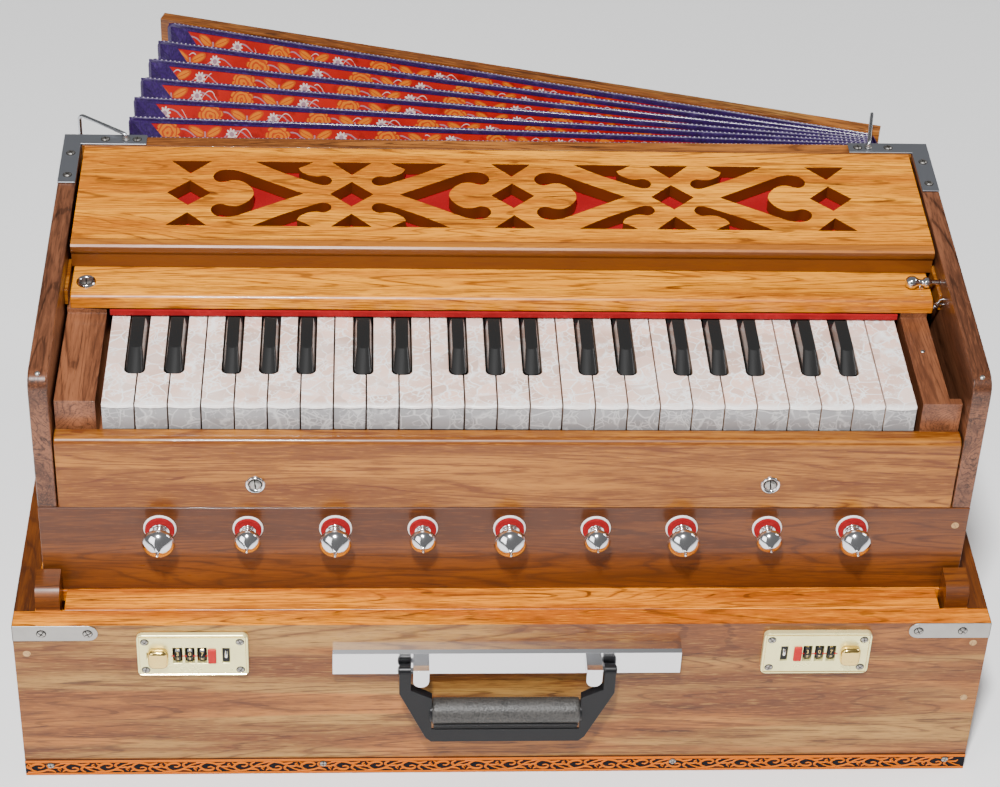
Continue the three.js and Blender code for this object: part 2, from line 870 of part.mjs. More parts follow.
const cheek = (side) => {
  const shape = new THREE.Shape();
  const corner = topLine(unitFront);
  shape.moveTo(unitFront, chestTop);
  shape.lineTo(unitFront, corner - cheekBend);
  shape.quadraticCurveTo(unitFront, corner, unitFront + cheekBend, topLine(unitFront + cheekBend));
  shape.lineTo(unitBack, unitTop);
  shape.lineTo(unitBack, chestTop);
  if (side > 0) {
    const hole = new THREE.Path();
    const height = stripTop + pinBallRadius + seat;
    hole.absarc(unitFront + pinSetback, height, pinShaftRadius + pinHoleGap, 0, 2 * Math.PI);
    shape.holes.push(hole);
  }
  const [from, to] = side < 0 ? [-unitHalf, -cheekInner] : [cheekInner, unitHalf];
  return extrude(shape, 'x', from, to, 4);
};

const keySlip = () => {
  const shape = new THREE.Shape();
  shape.moveTo(slipBack, chestTop);
  shape.lineTo(unitFront, chestTop);
  shape.lineTo(unitFront, slipTop - slipNose);
  shape.quadraticCurveTo(unitFront, slipTop, unitFront + slipNose, slipTop);
  shape.lineTo(slipBack, slipTop);
  return extrude(shape, 'x', -cheekInner + slipEndGap, cheekInner - slipEndGap, 4);
};

add('wind_chest', windChest(), teak);
add('stop_board', stopBoard(), teak);
add('cheek_left', cheek(-1), darkTeak);
add('cheek_right', cheek(1), darkTeak);
add('key_slip', keySlip(), goldenTeak);

// Stops: a turned knob on a rod through the stop board
const stop = (index) => {
  const size = index % 2;
  const head = stopHeadRadii[size];
  const reach = stopReachSizes[size];
  const knob = STOP_KNOB_SHARES.map(([radius, along]) => [radius * head, along * reach]);
  const profile = [
    [0, -stopBoardThickness - stopRodInside],
    [stopRodRadius, -stopBoardThickness - stopRodInside],
    [stopRodRadius, stopFeltSpace],
    [knob[0][0], stopFeltSpace],
    ...knob,
    [0, reach],
  ];
  return turn(profile.map(([radius, along]) => [radius, -along]), 'y', 10).translate(
    stopPlaces[index],
    unitFront,
    stopHeight,
  );
};
stopPlaces.forEach((_, index) => add(`stop_${index + 1}`, stop(index), chrome));

// Keyboard layout: naturals come in groups of three and four whose levers share the width alike
const keySlots = () => {
  const slots = [];
  let natural = 0;
  for (let group = 0; natural < naturalCount; group += 1) {
    const size = groupSizes[group % 2];
    const members = Math.min(size, naturalCount - natural);
    const from = natural * naturalPitch - keyboardHalf;
    const width = (size * naturalPitch) / (2 * size - 1);
    for (let i = 0; i < 2 * members - 1; i += 1) {
      slots.push({
        sharp: i % 2 === 1,
        left: from + i * width + keyGap / 2,
        right: from + (i + 1) * width - keyGap / 2,
        headLeft: from + (i / 2) * naturalPitch + keyGap / 2,
        headRight: from + (i / 2 + 1) * naturalPitch - keyGap / 2,
      });
    }
    natural += members;
  }
  slots[slots.length - 1].right = slots[slots.length - 1].headRight;
  return slots;
};
const keys = keySlots();
const PITCHES = ['c', 'c_sharp', 'd', 'd_sharp', 'e', 'f', 'f_sharp', 'g', 'g_sharp', 'a', 'a_sharp', 'b'];
const octave = PITCHES.length;
const isSingle = (index) => Math.floor(index / octave) === 1; // the second octave is cut free, key by key

// Side outline of a lever; a single key rides on its rod, a joined one is fixed to it
const leverOutline = (front, sharp, single) => {
  const rear = keyFront + keyLength;
  const tail = keyTop - tailThickness;
  const shape = new THREE.Shape();
  shape.moveTo(front, keyBottom);
  for (const rodOfSharps of [true, false]) {
    const own = rodOfSharps === sharp;
    const radius = balanceRodRadius + (own ? seat : foreignRodGap);
    if (!own || single) {
      shape.lineTo(rodY(rodOfSharps) - radius, keyBottom);
      shape.absarc(rodY(rodOfSharps), keyBottom, radius, Math.PI, 0, true);
    }
  }
  shape.lineTo(keyFront + tailStart, keyBottom);
  shape.lineTo(keyFront + tailStart, tail);
  shape.lineTo(keyFront + palletStart, tail);
  shape.lineTo(keyFront + palletStart, bedTop + seat);
  shape.lineTo(keyFront + palletStart + palletLength, bedTop + seat);
  shape.lineTo(keyFront + palletStart + palletLength, tail);
  shape.lineTo(rear, tail);
  shape.lineTo(rear, keyTop);
  shape.lineTo(front, keyTop);
  return shape;
};

const naturalKey = (slot, single) => {
  const { headLeft, headRight } = slot;
  const headBack = keyFront + naturalHeadLength;
  const rear = keyFront + keyLength + overrun;
  const lever = extrude(leverOutline(keyFront, false, single), 'x', headLeft, headRight, 3);
  const lip = new THREE.Shape();
  lip.moveTo(headLeft, keyFront + keyNosing);
  lip.lineTo(headLeft, keyFront);
  lip.quadraticCurveTo((headLeft + headRight) / 2, keyFront - 2 * keyNosing, headRight, keyFront);
  lip.lineTo(headRight, keyFront + keyNosing);
  const key = join(lever, extrude(lip, 'z', keyTop - keyTopThickness, keyTop, 4));
  const spare = [[headLeft - overrun, slot.left], [slot.right, headRight + overrun]]
    .filter(([from, to]) => to - from > overrun)
    .map(([from, to]) => block(from, to, headBack, rear, bedTop - overrun, keyTop + overrun));
  return spare.length ? cut(key, ...spare) : key;
};

// Ebony cap: a base outline with a round nose that narrows to a bevelled top
const sharpCap = ({ left, right }) => {
  const front = keyFront + naturalHeadLength + keyGap;
  const back = front + sharpLength;
  const middle = (left + right) / 2;
  const half = (right - left) / 2;
  const noseSteps = 5;
  const ring = (inset, noseStart, height) => {
    const points = [[right - inset, back, height]];
    for (let i = 0; i <= noseSteps; i += 1) {
      const angle = (i / noseSteps) * Math.PI;
      const x = middle + (half - inset) * Math.cos(angle);
      points.push([x, noseStart - sharpNoseRadius * Math.sin(angle) * (1 - inset / half), height]);
    }
    points.push([left + inset, back, height]);
    return points;
  };
  const low = ring(0, front + sharpNoseRadius, keyTop - jointDepth);
  const high = ring(sharpTopInset, front + sharpNoseRadius + sharpBevel, keyTop + sharpHeight);
  const count = low.length;
  const index = [];
  for (let i = 0; i < count; i += 1) {
    const next = (i + 1) % count;
    index.push(i, i + count, next, next, i + count, next + count);
  }
  for (let i = 1; i < count - 1; i += 1) {
    index.push(0, i, i + 1, count, count + i + 1, count + i);
  }
  const geometry = new THREE.BufferGeometry();
  geometry.setAttribute('position', new THREE.Float32BufferAttribute([...low, ...high].flat(), 3));
  geometry.setIndex(index);
  return outward(geometry);
};

const sharpKey = (slot, single) => {
  const front = keyFront + naturalHeadLength + keyGap + sharpNoseRadius;
  const lever = extrude(leverOutline(front, true, single), 'x', slot.left, slot.right, 3);
  return join(lever, sharpCap(slot));
};

const keyShape = (slot, single) => (slot.sharp ? sharpKey(slot, single) : naturalKey(slot, single));

const pivotRod = (radius, sharp, from, to) =>
  rod(radius, 'x', from, to, 8).translate(0, rodY(sharp), rodHeight);

// The keys of one colour in a range, joined on the rod that they turn on
const keyRank = (sharp, slots) => {
  const rank = slots.filter((slot) => slot.sharp === sharp);
  const last = rank[rank.length - 1];
  const axle = pivotRod(balanceRodRadius, sharp, rank[0].left, last.right);
  return join(axle, ...rank.map((slot) => keyShape(slot, false)));
};

const KEY_RANGES = { low: keys.slice(0, octave), high: keys.slice(2 * octave) };
for (const [range, slots] of Object.entries(KEY_RANGES)) {
  add(`white_keys_${range}`, keyRank(false, slots), pearl);
  add(`black_keys_${range}`, keyRank(true, slots), ebony);
}
keys.forEach((slot, index) => {
  if (isSingle(index)) {
    add(`key_${PITCHES[index % octave]}`, keyShape(slot, true), slot.sharp ? ebony : pearl);
  }
});

// Blocks at both ends of the keyboard, the right one with a pit beside the cheek
const keyBlock = (side) => {
  const near = keyboardHalf + keyBlockGap;
  const far = near + keyBlockWidth;
  const pit = side > 0 ? far - pitWidth : far;
  const corners = [
    [near, keyFront],
    [far, keyFront],
    [far, keyFront + pitFrontWall],
    [pit, keyFront + pitFrontWall],
    [pit, stripBack],
    [near, stripBack],
  ];
  const base = outline(corners.map(([x, y]) => [side * x, y]));
  const [x0, x1] = side < 0 ? [-pit, -near] : [near, pit];
  const rise = block(x0, x1, stripFront + seat, stripBack, keyBlockTop - jointDepth, stripBottom);
  return join(extrude(base, 'z', bedTop - jointDepth, keyBlockTop), rise);
};

// Key bed: slotted reed board with the front rail, the balance rail, the rods and the key blocks
const keyBed = () => {
  const half = cheekInner - seat;
  const board = block(-half, half, slipBack, backFace - seat, bedBottom, bedTop);
  const slots = keys.map(({ left, right }) => {
    const middle = (left + right) / 2;
    const from = keyFront + palletStart + (palletLength - reedSlotLength) / 2;
    const sides = [middle - reedSlotWidth / 2, middle + reedSlotWidth / 2];
    return block(...sides, from, from + reedSlotLength, bedBottom - overrun, bedTop + overrun);
  });
  const frontRail = keyFront + frontRailInset;
  const frontRailTop = bedTop + (keyBottom - bedTop - keyDip) / 2;
  const rails = [
    block(
      -keyboardHalf,
      keyboardHalf,
      frontRail,
      frontRail + frontRailWidth,
      bedTop - jointDepth,
      frontRailTop,
    ),
    block(
      -keyboardHalf,
      keyboardHalf,
      balanceY - balanceRailWidth / 2,
      balanceY + balanceRailWidth / 2,
      bedTop - jointDepth,
      balanceRailTop,
    ),
  ];
  const singles = keys.filter((_, index) => isSingle(index));
  const singlesFrom = singles[0].headLeft;
  const singlesTo = singles[singles.length - 1].headRight;
  const grooves = [true, false].flatMap((sharp) => [
    pivotRod(balanceRodRadius + seat, sharp, -keyboardHalf - overrun, singlesFrom - keyGap / 2),
    pivotRod(balanceRodRadius + seat, sharp, singlesTo + keyGap / 2, keyboardHalf + overrun),
  ]);
  const rods = [true, false].map((sharp) => pivotRod(balanceRodRadius, sharp, singlesFrom, singlesTo));
  const bed = cut(join(cut(board, ...slots), ...rails), ...grooves);
  return join(bed, ...rods, keyBlock(-1), keyBlock(1));
};
add('key_bed', keyBed(), teak);

// Key strip with its felt underneath
const keyStrip = () => {
  const shape = new THREE.Shape();
  shape.moveTo(stripBack, stripBottom);
  shape.lineTo(stripBack, stripTop);
  shape.lineTo(stripFront + stripNose, stripTop);
  shape.quadraticCurveTo(stripFront, stripTop, stripFront, stripTop - stripNose);
  shape.lineTo(stripFront, stripBottom);
  const felt = block(
    -keyboardHalf - feltEndGap,
    keyboardHalf + feltEndGap,
    stripFront + seat,
    stripFront + feltDepth,
    stripBottom - feltThickness,
    stripBottom + jointDepth,
  );
  return join(extrude(shape, 'x', -stripLeftEnd, stripRightEnd, 4), felt);
};
add('key_strip', keyStrip(), goldenTeak);

// Lid: pierced board, front board with its nosing, and the cloth behind the fretwork
const lidHalf = cheekInner - lidSideGap;
const lidFront = unitFront + lidSetback;
const lidBack = backFace - lidBackGap;
const fretMiddle = -(unitBack - lidBack) - fretBackMargin - fretHalf;

// Large scroll: two curled tails that meet in one long point, drawn pointing along +X
const SCROLL_SHARES = {
  tip: [0, 0],
  shoulder: [-0.8, 0.66],
  tail: [-0.93, 0.56],
  curl: 0.14,
  lip: [-0.78, 0.42],
  waist: [-0.52, 0.24],
  throat: [-0.54, 0],
};
const largeScroll = (x, direction) => {
  const at = ([a, b], up = 1) => [x + direction * a * scrollLength, up * b * fretHalf + fretMiddle];
  const s = SCROLL_SHARES;
  const path = new THREE.Shape();
  const side = (up, forward) => {
    const radius = s.curl * fretHalf;
    const [tx, ty] = at(s.tail, up);
    const top = [tx, ty + up * radius];
    const end = [tx - direction * radius, ty];
    const low = [tx, ty - up * radius];
    if (forward) {
      path.quadraticCurveTo(...at(s.shoulder, up), ...top);
      path.quadraticCurveTo(end[0], top[1], ...end);
      path.quadraticCurveTo(end[0], low[1], ...low);
      path.quadraticCurveTo(...at(s.lip, up), ...at(s.waist, up));
      path.lineTo(...at(s.throat, up));
    } else {
      path.lineTo(...at(s.waist, up));
      path.quadraticCurveTo(...at(s.lip, up), ...low);
      path.quadraticCurveTo(end[0], low[1], ...end);
      path.quadraticCurveTo(end[0], top[1], ...top);
      path.quadraticCurveTo(...at(s.shoulder, up), ...at(s.tip));
    }
  };
  path.moveTo(...at(s.tip));
  side(1, true);
  side(-1, false);
  return path;
};

// Small scroll: a wedge along the border whose tail curls back to the diamond
const WEDGE_SHARES = {
  far: [-1, 1],
  near: [-0.36, 1],
  notch: [-0.44, 0.78],
  tail: [-0.24, 0.46],
  belly: [-0.52, 0.38],
};

const smallScroll = (x, direction, up) => {
  const at = ([a, b]) => [x + direction * a * wedgeLength, up * b * fretHalf + fretMiddle];
  const s = WEDGE_SHARES;
  const [tx, ty] = at(s.tail);
  const path = new THREE.Shape();
  path.moveTo(...at(s.far));
  path.lineTo(...at(s.near));
  path.quadraticCurveTo(...at(s.notch), tx, ty + up * wedgeCurl);
  path.quadraticCurveTo(tx + direction * wedgeCurl, ty + up * wedgeCurl, tx + direction * wedgeCurl, ty);
  path.quadraticCurveTo(tx + direction * wedgeCurl, ty - up * wedgeCurl, tx, ty - up * wedgeCurl);
  path.quadraticCurveTo(...at(s.belly), ...at(s.far));
  return path;
};

const fretColumn = (x) => {
  const wide = triangleWidth / 2;
  const triangles = [1, -1].map((up) =>
    outline([
      [x - wide, fretMiddle + up * fretHalf],
      [x + wide, fretMiddle + up * fretHalf],
      [x, fretMiddle + up * (fretHalf - triangleHeight)],
    ]),
  );
  const diamond = outline([
    [x - diamondWidth / 2, fretMiddle],
    [x, fretMiddle - diamondHeight / 2],
    [x + diamondWidth / 2, fretMiddle],
    [x, fretMiddle + diamondHeight / 2],
  ]);
  return [...triangles, diamond];
};

// The lid, the brackets and the cloth lie in the sloping plane of the cheek tops
const roof = new THREE.Group();
roof.position.set(0, unitBack, unitTop);
roof.rotation.x = slope;
roof.updateMatrix();
harmonium.add(roof);

const fretworkLid = () => {
  const board = block(-lidHalf, lidHalf, lidFront - unitBack + seat, lidBack - unitBack, -lidThickness, 0);
  const openings = [];
  for (let column = -2; column <= 2; column += 1) {
    openings.push(...fretColumn(fretOffset + column * fretPitch));
  }
  for (const cell of [-1, 1]) {
    const x = fretOffset + cell * fretPitch;
    for (const direction of [1, -1]) {
      openings.push(largeScroll(x - direction * scrollGap, direction));
      openings.push(...[1, -1].map((up) => smallScroll(x, direction, up)));
    }
  }
  const tools = openings.map((shape) => extrude(shape, 'z', -lidThickness - overrun, overrun, 3));
  return join(cut(board, ...tools), lidFrontBoard());
};

// Front board of the lid with its nosing, brought into the sloping plane
const lidFrontBoard = () => {
  const back = lidFront + jointDepth;
  const top = topLine(lidFront);
  const nose = lidFront - nosingReach;
  const bottom = stripTop + seat;
  const shape = new THREE.Shape();
  shape.moveTo(back, bottom);
  shape.lineTo(back, top);
  shape.lineTo(nose + nosingHeight / 2, top - seat);
  shape.quadraticCurveTo(nose, top - seat, nose, top - nosingHeight / 2);
  shape.quadraticCurveTo(nose, top - nosingHeight, nose + faceRecess, top - nosingHeight);
  shape.lineTo(nose + faceRecess, bottom);
  const toRoof = roof.matrix.clone().invert();
  return extrude(shape, 'x', -lidHalf, lidHalf, 3).applyMatrix4(toRoof);
};

const lidCloth = () =>
  block(
    -lidHalf + lidClothInset,
    lidHalf - lidClothInset,
    lidFront - unitBack + lidClothInset,
    lidBack - unitBack - lidClothInset,
    -lidThickness - seat - lidClothThickness,
    -lidThickness - seat,
  );

add('fretwork_lid', fretworkLid(), goldenTeak, roof);
add('lid_cloth', lidCloth(), redCloth, roof);

// Corner brackets on the cheek tops and the top rail
const cornerBracket = (side) => {
  const inner = cheekInner + seat;
  const shape = outline([
    [unitHalf, 0],
    [unitHalf, -bracketLength],
    [inner, -bracketLength],
    [inner, -boardThickness],
    [unitHalf - bracketLength, -boardThickness],
    [unitHalf - bracketLength, 0],
  ].map(([x, y]) => [side * x, y]));
  return extrude(shape, 'z', seat, seat + bracketThickness);
};
add('corner_bracket_left', cornerBracket(-1), gunmetal, roof);
add('corner_bracket_right', cornerBracket(1), gunmetal, roof);

// Bellows hooks: a wire that turns on the bracket and drops behind the pump board
const hookBase = topLine(hookY + hookWireRadius) + bracketThickness + 2 * seat;
const bellowsHook = () => {
  const points = [
    new THREE.Vector3(0, 0, 0),
    new THREE.Vector3(0, 0, hookArmHeight),
    new THREE.Vector3(0, hookReach, hookArmHeight),
    new THREE.Vector3(0, hookReach, hookArmHeight - hookDrop),
  ];
  return wire(points, hookWireRadius, hookBend, 3);
};
SIDES.forEach(([name, side]) => {
  const pivot = new THREE.Group();
  pivot.position.set(side * hookOffset, hookY, hookBase);
  const swing = side < 0 ? hookLeftSwing : -hookRightSwing;
  pivot.rotation.z = THREE.MathUtils.degToRad(swing);
  harmonium.add(pivot);
  add(`bellows_hook_${name}`, bellowsHook(), steel, pivot);
});

// Lock pin: a turned knob on a shaft that enters the right cheek
const lockPin = () => {
  const knobEnd = cheekInner - pinKnobGap;
  const knobStart = knobEnd - pinKnobLength;
  const knob = PIN_KNOB_SHARES.map(([radius, along]) => [
    radius * pinBallRadius,
    knobStart + along * pinKnobLength,
  ]);
  const profile = [
    [0, knobStart],
    ...knob,
    [pinShaftRadius, knobEnd],
    [pinShaftRadius, knobEnd + pinShaftLength],
    [0, knobEnd + pinShaftLength],
  ];
  return turn(profile, 'x', 12);
};
add(
  'lock_pin',
  lockPin().translate(0, unitFront + pinSetback, stripTop + pinBallRadius + seat),
  chrome,
);

// Bellows ribs: stiff frames in the folds, fanned out by the same angle from one to the next
const ribGeometry = () => {
  const shape = outline([
    [leafBottom, -leafLength],
    [leafTop, -leafLength],
    [leafTop, 0],
    [leafBottom, 0],
  ]);
  const hole = outline([
    [leafBottom + ribWidth, -leafLength + ribWidth],
    [leafBottom + ribWidth, -ribWidth],
    [leafTop - ribWidth, -ribWidth],
    [leafTop - ribWidth, -leafLength + ribWidth],
  ]);
  shape.holes.push(hole);
  return extrude(shape, 'y', -ribThickness / 2, ribThickness / 2);
};

const pumpBoard = () => {
  const shape = outline([
    [leafBottom - pumpMargin, -leafLength - pumpLeftMargin],
    [leafTop + pumpMargin, -leafLength - pumpLeftMargin],
    [leafTop + pumpMargin, pumpRightMargin],
    [leafBottom - pumpMargin, pumpRightMargin],
  ]);
  const middle = (leafBottom + leafTop) / 2;
  for (let i = 0; i < inletCount; i += 1) {
    const x = -leafLength / 2 + (i - (inletCount - 1) / 2) * inletPitch;
    const hole = new THREE.Path();
    hole.absarc(middle, x, inletRadius, 0, 2 * Math.PI);
    shape.holes.push(hole);
  }
  return extrude(shape, 'y', 0, pumpThickness, 5);
};

const leafFrames = [];
for (let leaf = 0; leaf <= foldCount; leaf += 1) {
  const frame = new THREE.Group();
  frame.position.set(leafHingeX, unitBack + frameDepth + leaf * leafPitch, 0);
  frame.rotation.z = -THREE.MathUtils.degToRad(leaf * leafAngle);
  harmonium.add(frame);
  leafFrames.push(frame);
  if (leaf === foldCount) {
    add('pump_board', pumpBoard(), teak, frame);
  } else if (leaf > 0) {
    add(`bellows_rib_${leaf}`, ribGeometry(), ribCard, frame);
  }
}
harmonium.updateMatrixWorld(true);

// Bellows cloth: one sheet that runs round the leaf edges and folds inwards between them
const bellowsSheet = () => {
  const cap = ribThickness / 2 + seat;
  const edges = [
    { x: -clothEndGap, z: leafTop, inX: 0, inZ: -1 },
    { x: -leafLength, z: leafTop, inX: 1, inZ: -1 },
    { x: -leafLength, z: leafBottom, inX: 1, inZ: 1 },
    { x: -clothEndGap, z: leafBottom, inX: 0, inZ: 1 },
  ];
  const place = (leaf, edge, offset, depth) => {
    const point = new THREE.Vector3(edge.x + edge.inX * depth, offset, edge.z + edge.inZ * depth);
    return point.applyMatrix4(leafFrames[leaf].matrixWorld);
  };
  // Points over the sheet at one edge, on its outer face or its inner face
  const section = (edge, isOuter) => {
    const rise = isOuter ? -seat - clothThickness : -seat;
    const spread = isOuter ? cap + clothThickness : cap;
    const valley = isOuter ? foldDepth : foldDepth + foldThickness;
    const bottom = isOuter ? foldFlat : clothThickness;
    const points = [];
    for (let leaf = 0; leaf <= foldCount; leaf += 1) {
      if (leaf > 0 && leaf < foldCount) {
        points.push(place(leaf, edge, -spread, rise));
        points.push(place(leaf, edge, spread, rise));
      } else {
        const inward = leaf === 0 ? 1 : -1;
        points.push(place(leaf, edge, inward * (isOuter ? seat + clothThickness : seat), 0));
      }
      if (leaf < foldCount) {
        for (const way of [-1, 1]) {
          const before = place(leaf, edge, way * bottom, valley);
          const after = place(leaf + 1, edge, way * bottom, valley);
          points.push(before.add(after).multiplyScalar(1 / 2));
        }
      }
    }
    return points;
  };
  const rings = edges.map((edge) => [...section(edge, true), ...section(edge, false).reverse()]);
  const size = rings[0].length;
  const positions = rings.flat().flatMap((point) => [point.x, point.y, point.z]);
  const index = [];
  for (let ring = 0; ring < rings.length - 1; ring += 1) {
    for (let i = 0; i < size; i += 1) {
      const a = ring * size + i;
      const b = ring * size + ((i + 1) % size);
      index.push(a, b, a + size, b, b + size, a + size);
    }
  }
  const last = (rings.length - 1) * size;
  for (let i = 0; i < size / 2 - 1; i += 1) {
    const j = size - 1 - i;
    index.push(i, j, i + 1, i + 1, j, j - 1);
    index.push(last + i, last + i + 1, last + j, last + i + 1, last + j - 1, last + j);
  }
  const geometry = new THREE.BufferGeometry();
  geometry.setAttribute('position', new THREE.Float32BufferAttribute(positions, 3));
  geometry.setIndex(index);
  return outward(geometry);
};
add('bellows_cloth', bellowsSheet(), bellowsCloth);

export default harmonium;
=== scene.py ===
"""Looks of a suitcase harmonium with a fan bellows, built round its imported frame.

X runs along the keyboard, -Y faces the player and Z is up, in metres.
"""
import json
import math
import random

import bmesh
import bpy
from bpy.props import FloatProperty, FloatVectorProperty, IntProperty, PointerProperty
from mathutils import Matrix, Vector
from mathutils.bvhtree import BVHTree


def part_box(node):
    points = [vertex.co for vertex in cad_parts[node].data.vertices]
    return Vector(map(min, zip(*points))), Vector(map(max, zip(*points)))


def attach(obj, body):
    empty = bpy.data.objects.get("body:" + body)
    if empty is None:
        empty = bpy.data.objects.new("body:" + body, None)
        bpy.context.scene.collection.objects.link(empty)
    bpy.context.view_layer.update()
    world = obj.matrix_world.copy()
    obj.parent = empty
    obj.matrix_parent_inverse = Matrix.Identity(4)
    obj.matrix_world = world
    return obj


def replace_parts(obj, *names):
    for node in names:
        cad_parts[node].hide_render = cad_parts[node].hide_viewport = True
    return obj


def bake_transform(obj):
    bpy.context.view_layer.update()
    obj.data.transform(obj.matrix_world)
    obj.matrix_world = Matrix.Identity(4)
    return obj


bl_info = {
    "name": "Suitcase Harmonium",
    "version": (1, 0, 0),
    "blender": (4, 5, 0),
    "location": "View3D > Sidebar > Harmonium",
    "description": "Finishes and fittings of a travelling harmonium round its frame",
    "category": "Add Mesh",
}

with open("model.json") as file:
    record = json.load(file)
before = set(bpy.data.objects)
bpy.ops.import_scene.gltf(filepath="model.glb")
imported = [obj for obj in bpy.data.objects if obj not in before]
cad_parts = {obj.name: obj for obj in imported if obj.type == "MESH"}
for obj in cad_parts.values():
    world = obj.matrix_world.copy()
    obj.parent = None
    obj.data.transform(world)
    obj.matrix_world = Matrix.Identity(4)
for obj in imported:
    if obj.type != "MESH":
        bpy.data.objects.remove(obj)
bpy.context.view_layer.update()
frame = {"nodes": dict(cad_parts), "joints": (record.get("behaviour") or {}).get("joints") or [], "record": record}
MM = 0.001
JOINTS = {joint["name"]: joint for joint in frame["joints"]}
BODY_OF = {
    node: body for body, nodes in frame["record"]["behaviour"]["bodies"].items() for node in nodes
}
SLOT_OF = {row["node"]: row["material_slot"] for row in frame["record"]["subparts"]}
JOINT_BODIES = {joint["child"] for joint in frame["joints"]}
SIDES = (("left", -1), ("right", 1))

# Planes of the instrument, read from the frame
CASE_LOW, CASE_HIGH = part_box("case_walls")
CASE_FRONT = CASE_LOW.y
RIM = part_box("deck")[1].z
PLINTH_LOW, PLINTH_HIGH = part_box("plinth_rail")
BOARD_LOW, BOARD_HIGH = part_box("stop_board")
SLIP_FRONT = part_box("key_slip")[0].y
CHEEK_LOW, CHEEK_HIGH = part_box("cheek_right")
STRIP_LOW, STRIP_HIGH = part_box("key_strip")
LID_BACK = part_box("fretwork_lid")[1].y
BED_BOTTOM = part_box("key_bed")[0].z
UNIT_FRONT = BOARD_LOW.y
NATURAL_PITCH = 22 * MM
NATURALS = 25
KEYBOARD_HALF = NATURALS * NATURAL_PITCH / 2
OCTAVE = 12

# Dressing of the keys: celluloid sheets, and black caps that end in front of the felt
SHEET_THICKNESS = 2.4 * MM
CAP_HEIGHT = 9.6 * MM
CAP_END = 6 * MM
CAP_SETBACK = 6.4 * MM

# Where the grain of the case's side boards begins, from its outside
SIDE_BOARD = 14.5 * MM

CLOTH_THICKNESS = 0.35 * MM

# How much finer the wood grain is across a board than along it
ACROSS_GRAIN = 14

# Leaves of the bellows: six folds that turn about a line at the right
FOLDS = 6
LEAF_PITCH = 2.7 * MM
LEAF_ANGLE = math.radians(2.64)
LEAF_LENGTH = 560 * MM
LEAF_HINGE = Vector((283 * MM, 134 * MM, 0))
LEAF_BOTTOM = 153 * MM
LEAF_TOP = 333 * MM
FOLD_DEPTH = 24 * MM


# Sizes and colours that a user would change


def colour(name, description, value):
    return FloatVectorProperty(
        name=name, description=description, default=value, subtype="COLOR", min=0, max=1
    )


def length(name, description, value):
    return FloatProperty(name=name, description=description, default=value, unit="LENGTH")


class HarmoniumColours(bpy.types.PropertyGroup):
    teak_pale: colour("Teak, pale", "Early wood of the case", (0.42, 0.150, 0.028))
    teak_deep: colour("Teak, deep", "Late wood of the case", (0.15, 0.044, 0.009))
    teak_streak: colour("Teak streaks", "Dark figure and pores of the case", (0.042, 0.012, 0.004))
    teak_warm: colour("Teak, olive", "Olive bands of the case", (0.40, 0.205, 0.050))
    board_pale: colour("Stop board, pale", "Early wood of stop board and blocks", (0.155, 0.043, 0.006))
    board_deep: colour("Stop board, deep", "Late wood of stop board and blocks", (0.072, 0.018, 0.003))
    golden_pale: colour("Golden teak, pale", "Early wood of lid and strip", (0.88, 0.335, 0.008))
    golden_deep: colour("Golden teak, deep", "Late wood of lid and strip", (0.47, 0.130, 0.003))
    golden_streak: colour("Golden streaks", "Dark figure of the golden boards", (0.11, 0.024, 0.003))
    slip_pale: colour("Slip teak, pale", "Early wood of the key slip", (0.40, 0.148, 0.018))
    slip_deep: colour("Slip teak, deep", "Late wood of the key slip", (0.17, 0.050, 0.006))
    deck_pale: colour("Deck teak, pale", "Early wood of the deck", (0.95, 0.315, 0.002))
    deck_deep: colour("Deck teak, deep", "Late wood of the deck", (0.44, 0.100, 0.003))
    cheek_pale: colour("Cheek wood, pale", "Early wood of the cheeks", (0.20, 0.074, 0.034))
    cheek_deep: colour("Cheek wood, deep", "Late wood of the cheeks", (0.070, 0.024, 0.011))
    raw_pale: colour("Plain wood", "Unpolished wood inside", (0.50, 0.30, 0.13))
    pearl: colour("Celluloid", "Ground colour of the natural keys", (0.84, 0.56, 0.455))
    pearl_vein: colour("Celluloid veins", "Crackle of the natural keys", (1.0, 0.98, 0.96))
    felt: colour("Red felt", "Felt strip, washers and lid cloth", (0.34, 0.003, 0.006))
    violet: colour("Violet leather", "Edges and gussets of the bellows", (0.022, 0.0042, 0.070))
    print_ground: colour("Cloth ground", "Ground of the printed cloth", (0.27, 0.0016, 0.0003))
    print_gold: colour("Cloth gold", "Marigolds and leaves of the print", (0.50, 0.125, 0.0004))
    print_white: colour("Cloth white", "Small blossoms of the print", (0.52, 0.42, 0.39))
    print_stem: colour("Cloth stems", "Stems of the print", (0.26, 0.15, 0.18))
    border: colour("Border", "Carved scroll along the plinth", (0.60, 0.135, 0.0004))
    plate: colour("Lock plate", "Pale brass of the lock plates", (1.0, 0.92, 0.44))


class HarmoniumSizes(bpy.types.PropertyGroup):
    eased_edge: length("Eased edge", "Bevel of the wooden boards", 0.8 * MM)
    screw_radius: length("Screw radius", "Head of the fixing screws", 2.9 * MM)
    strap_length: length("Strap length", "Corner strap along the front", 58 * MM)
    strap_height: length("Strap height", "Width of the corner strap", 13.6 * MM)
    scroll_pitch: length("Scroll pitch", "Half a repeat of the carved border", 24 * MM)
    washer_radius: length("Washer radius", "White ring behind a stop knob", 11.2 * MM)
    tape_depth: length("Tape depth", "Leather over the bellows cloth", 3.4 * MM)
    gusset: length("Gusset", "Leather patch at the bellows corners", 13 * MM)
    print_pitch: length("Print repeat", "Repeat of the floral print", 82 * MM)
    cloth_pucker: length("Pucker", "Unevenness of the bellows cloth", 0.5 * MM)
    chain_links: IntProperty(
        name="Chain links", description="Links between lock pin and staple", default=13
    )


# Shader maths


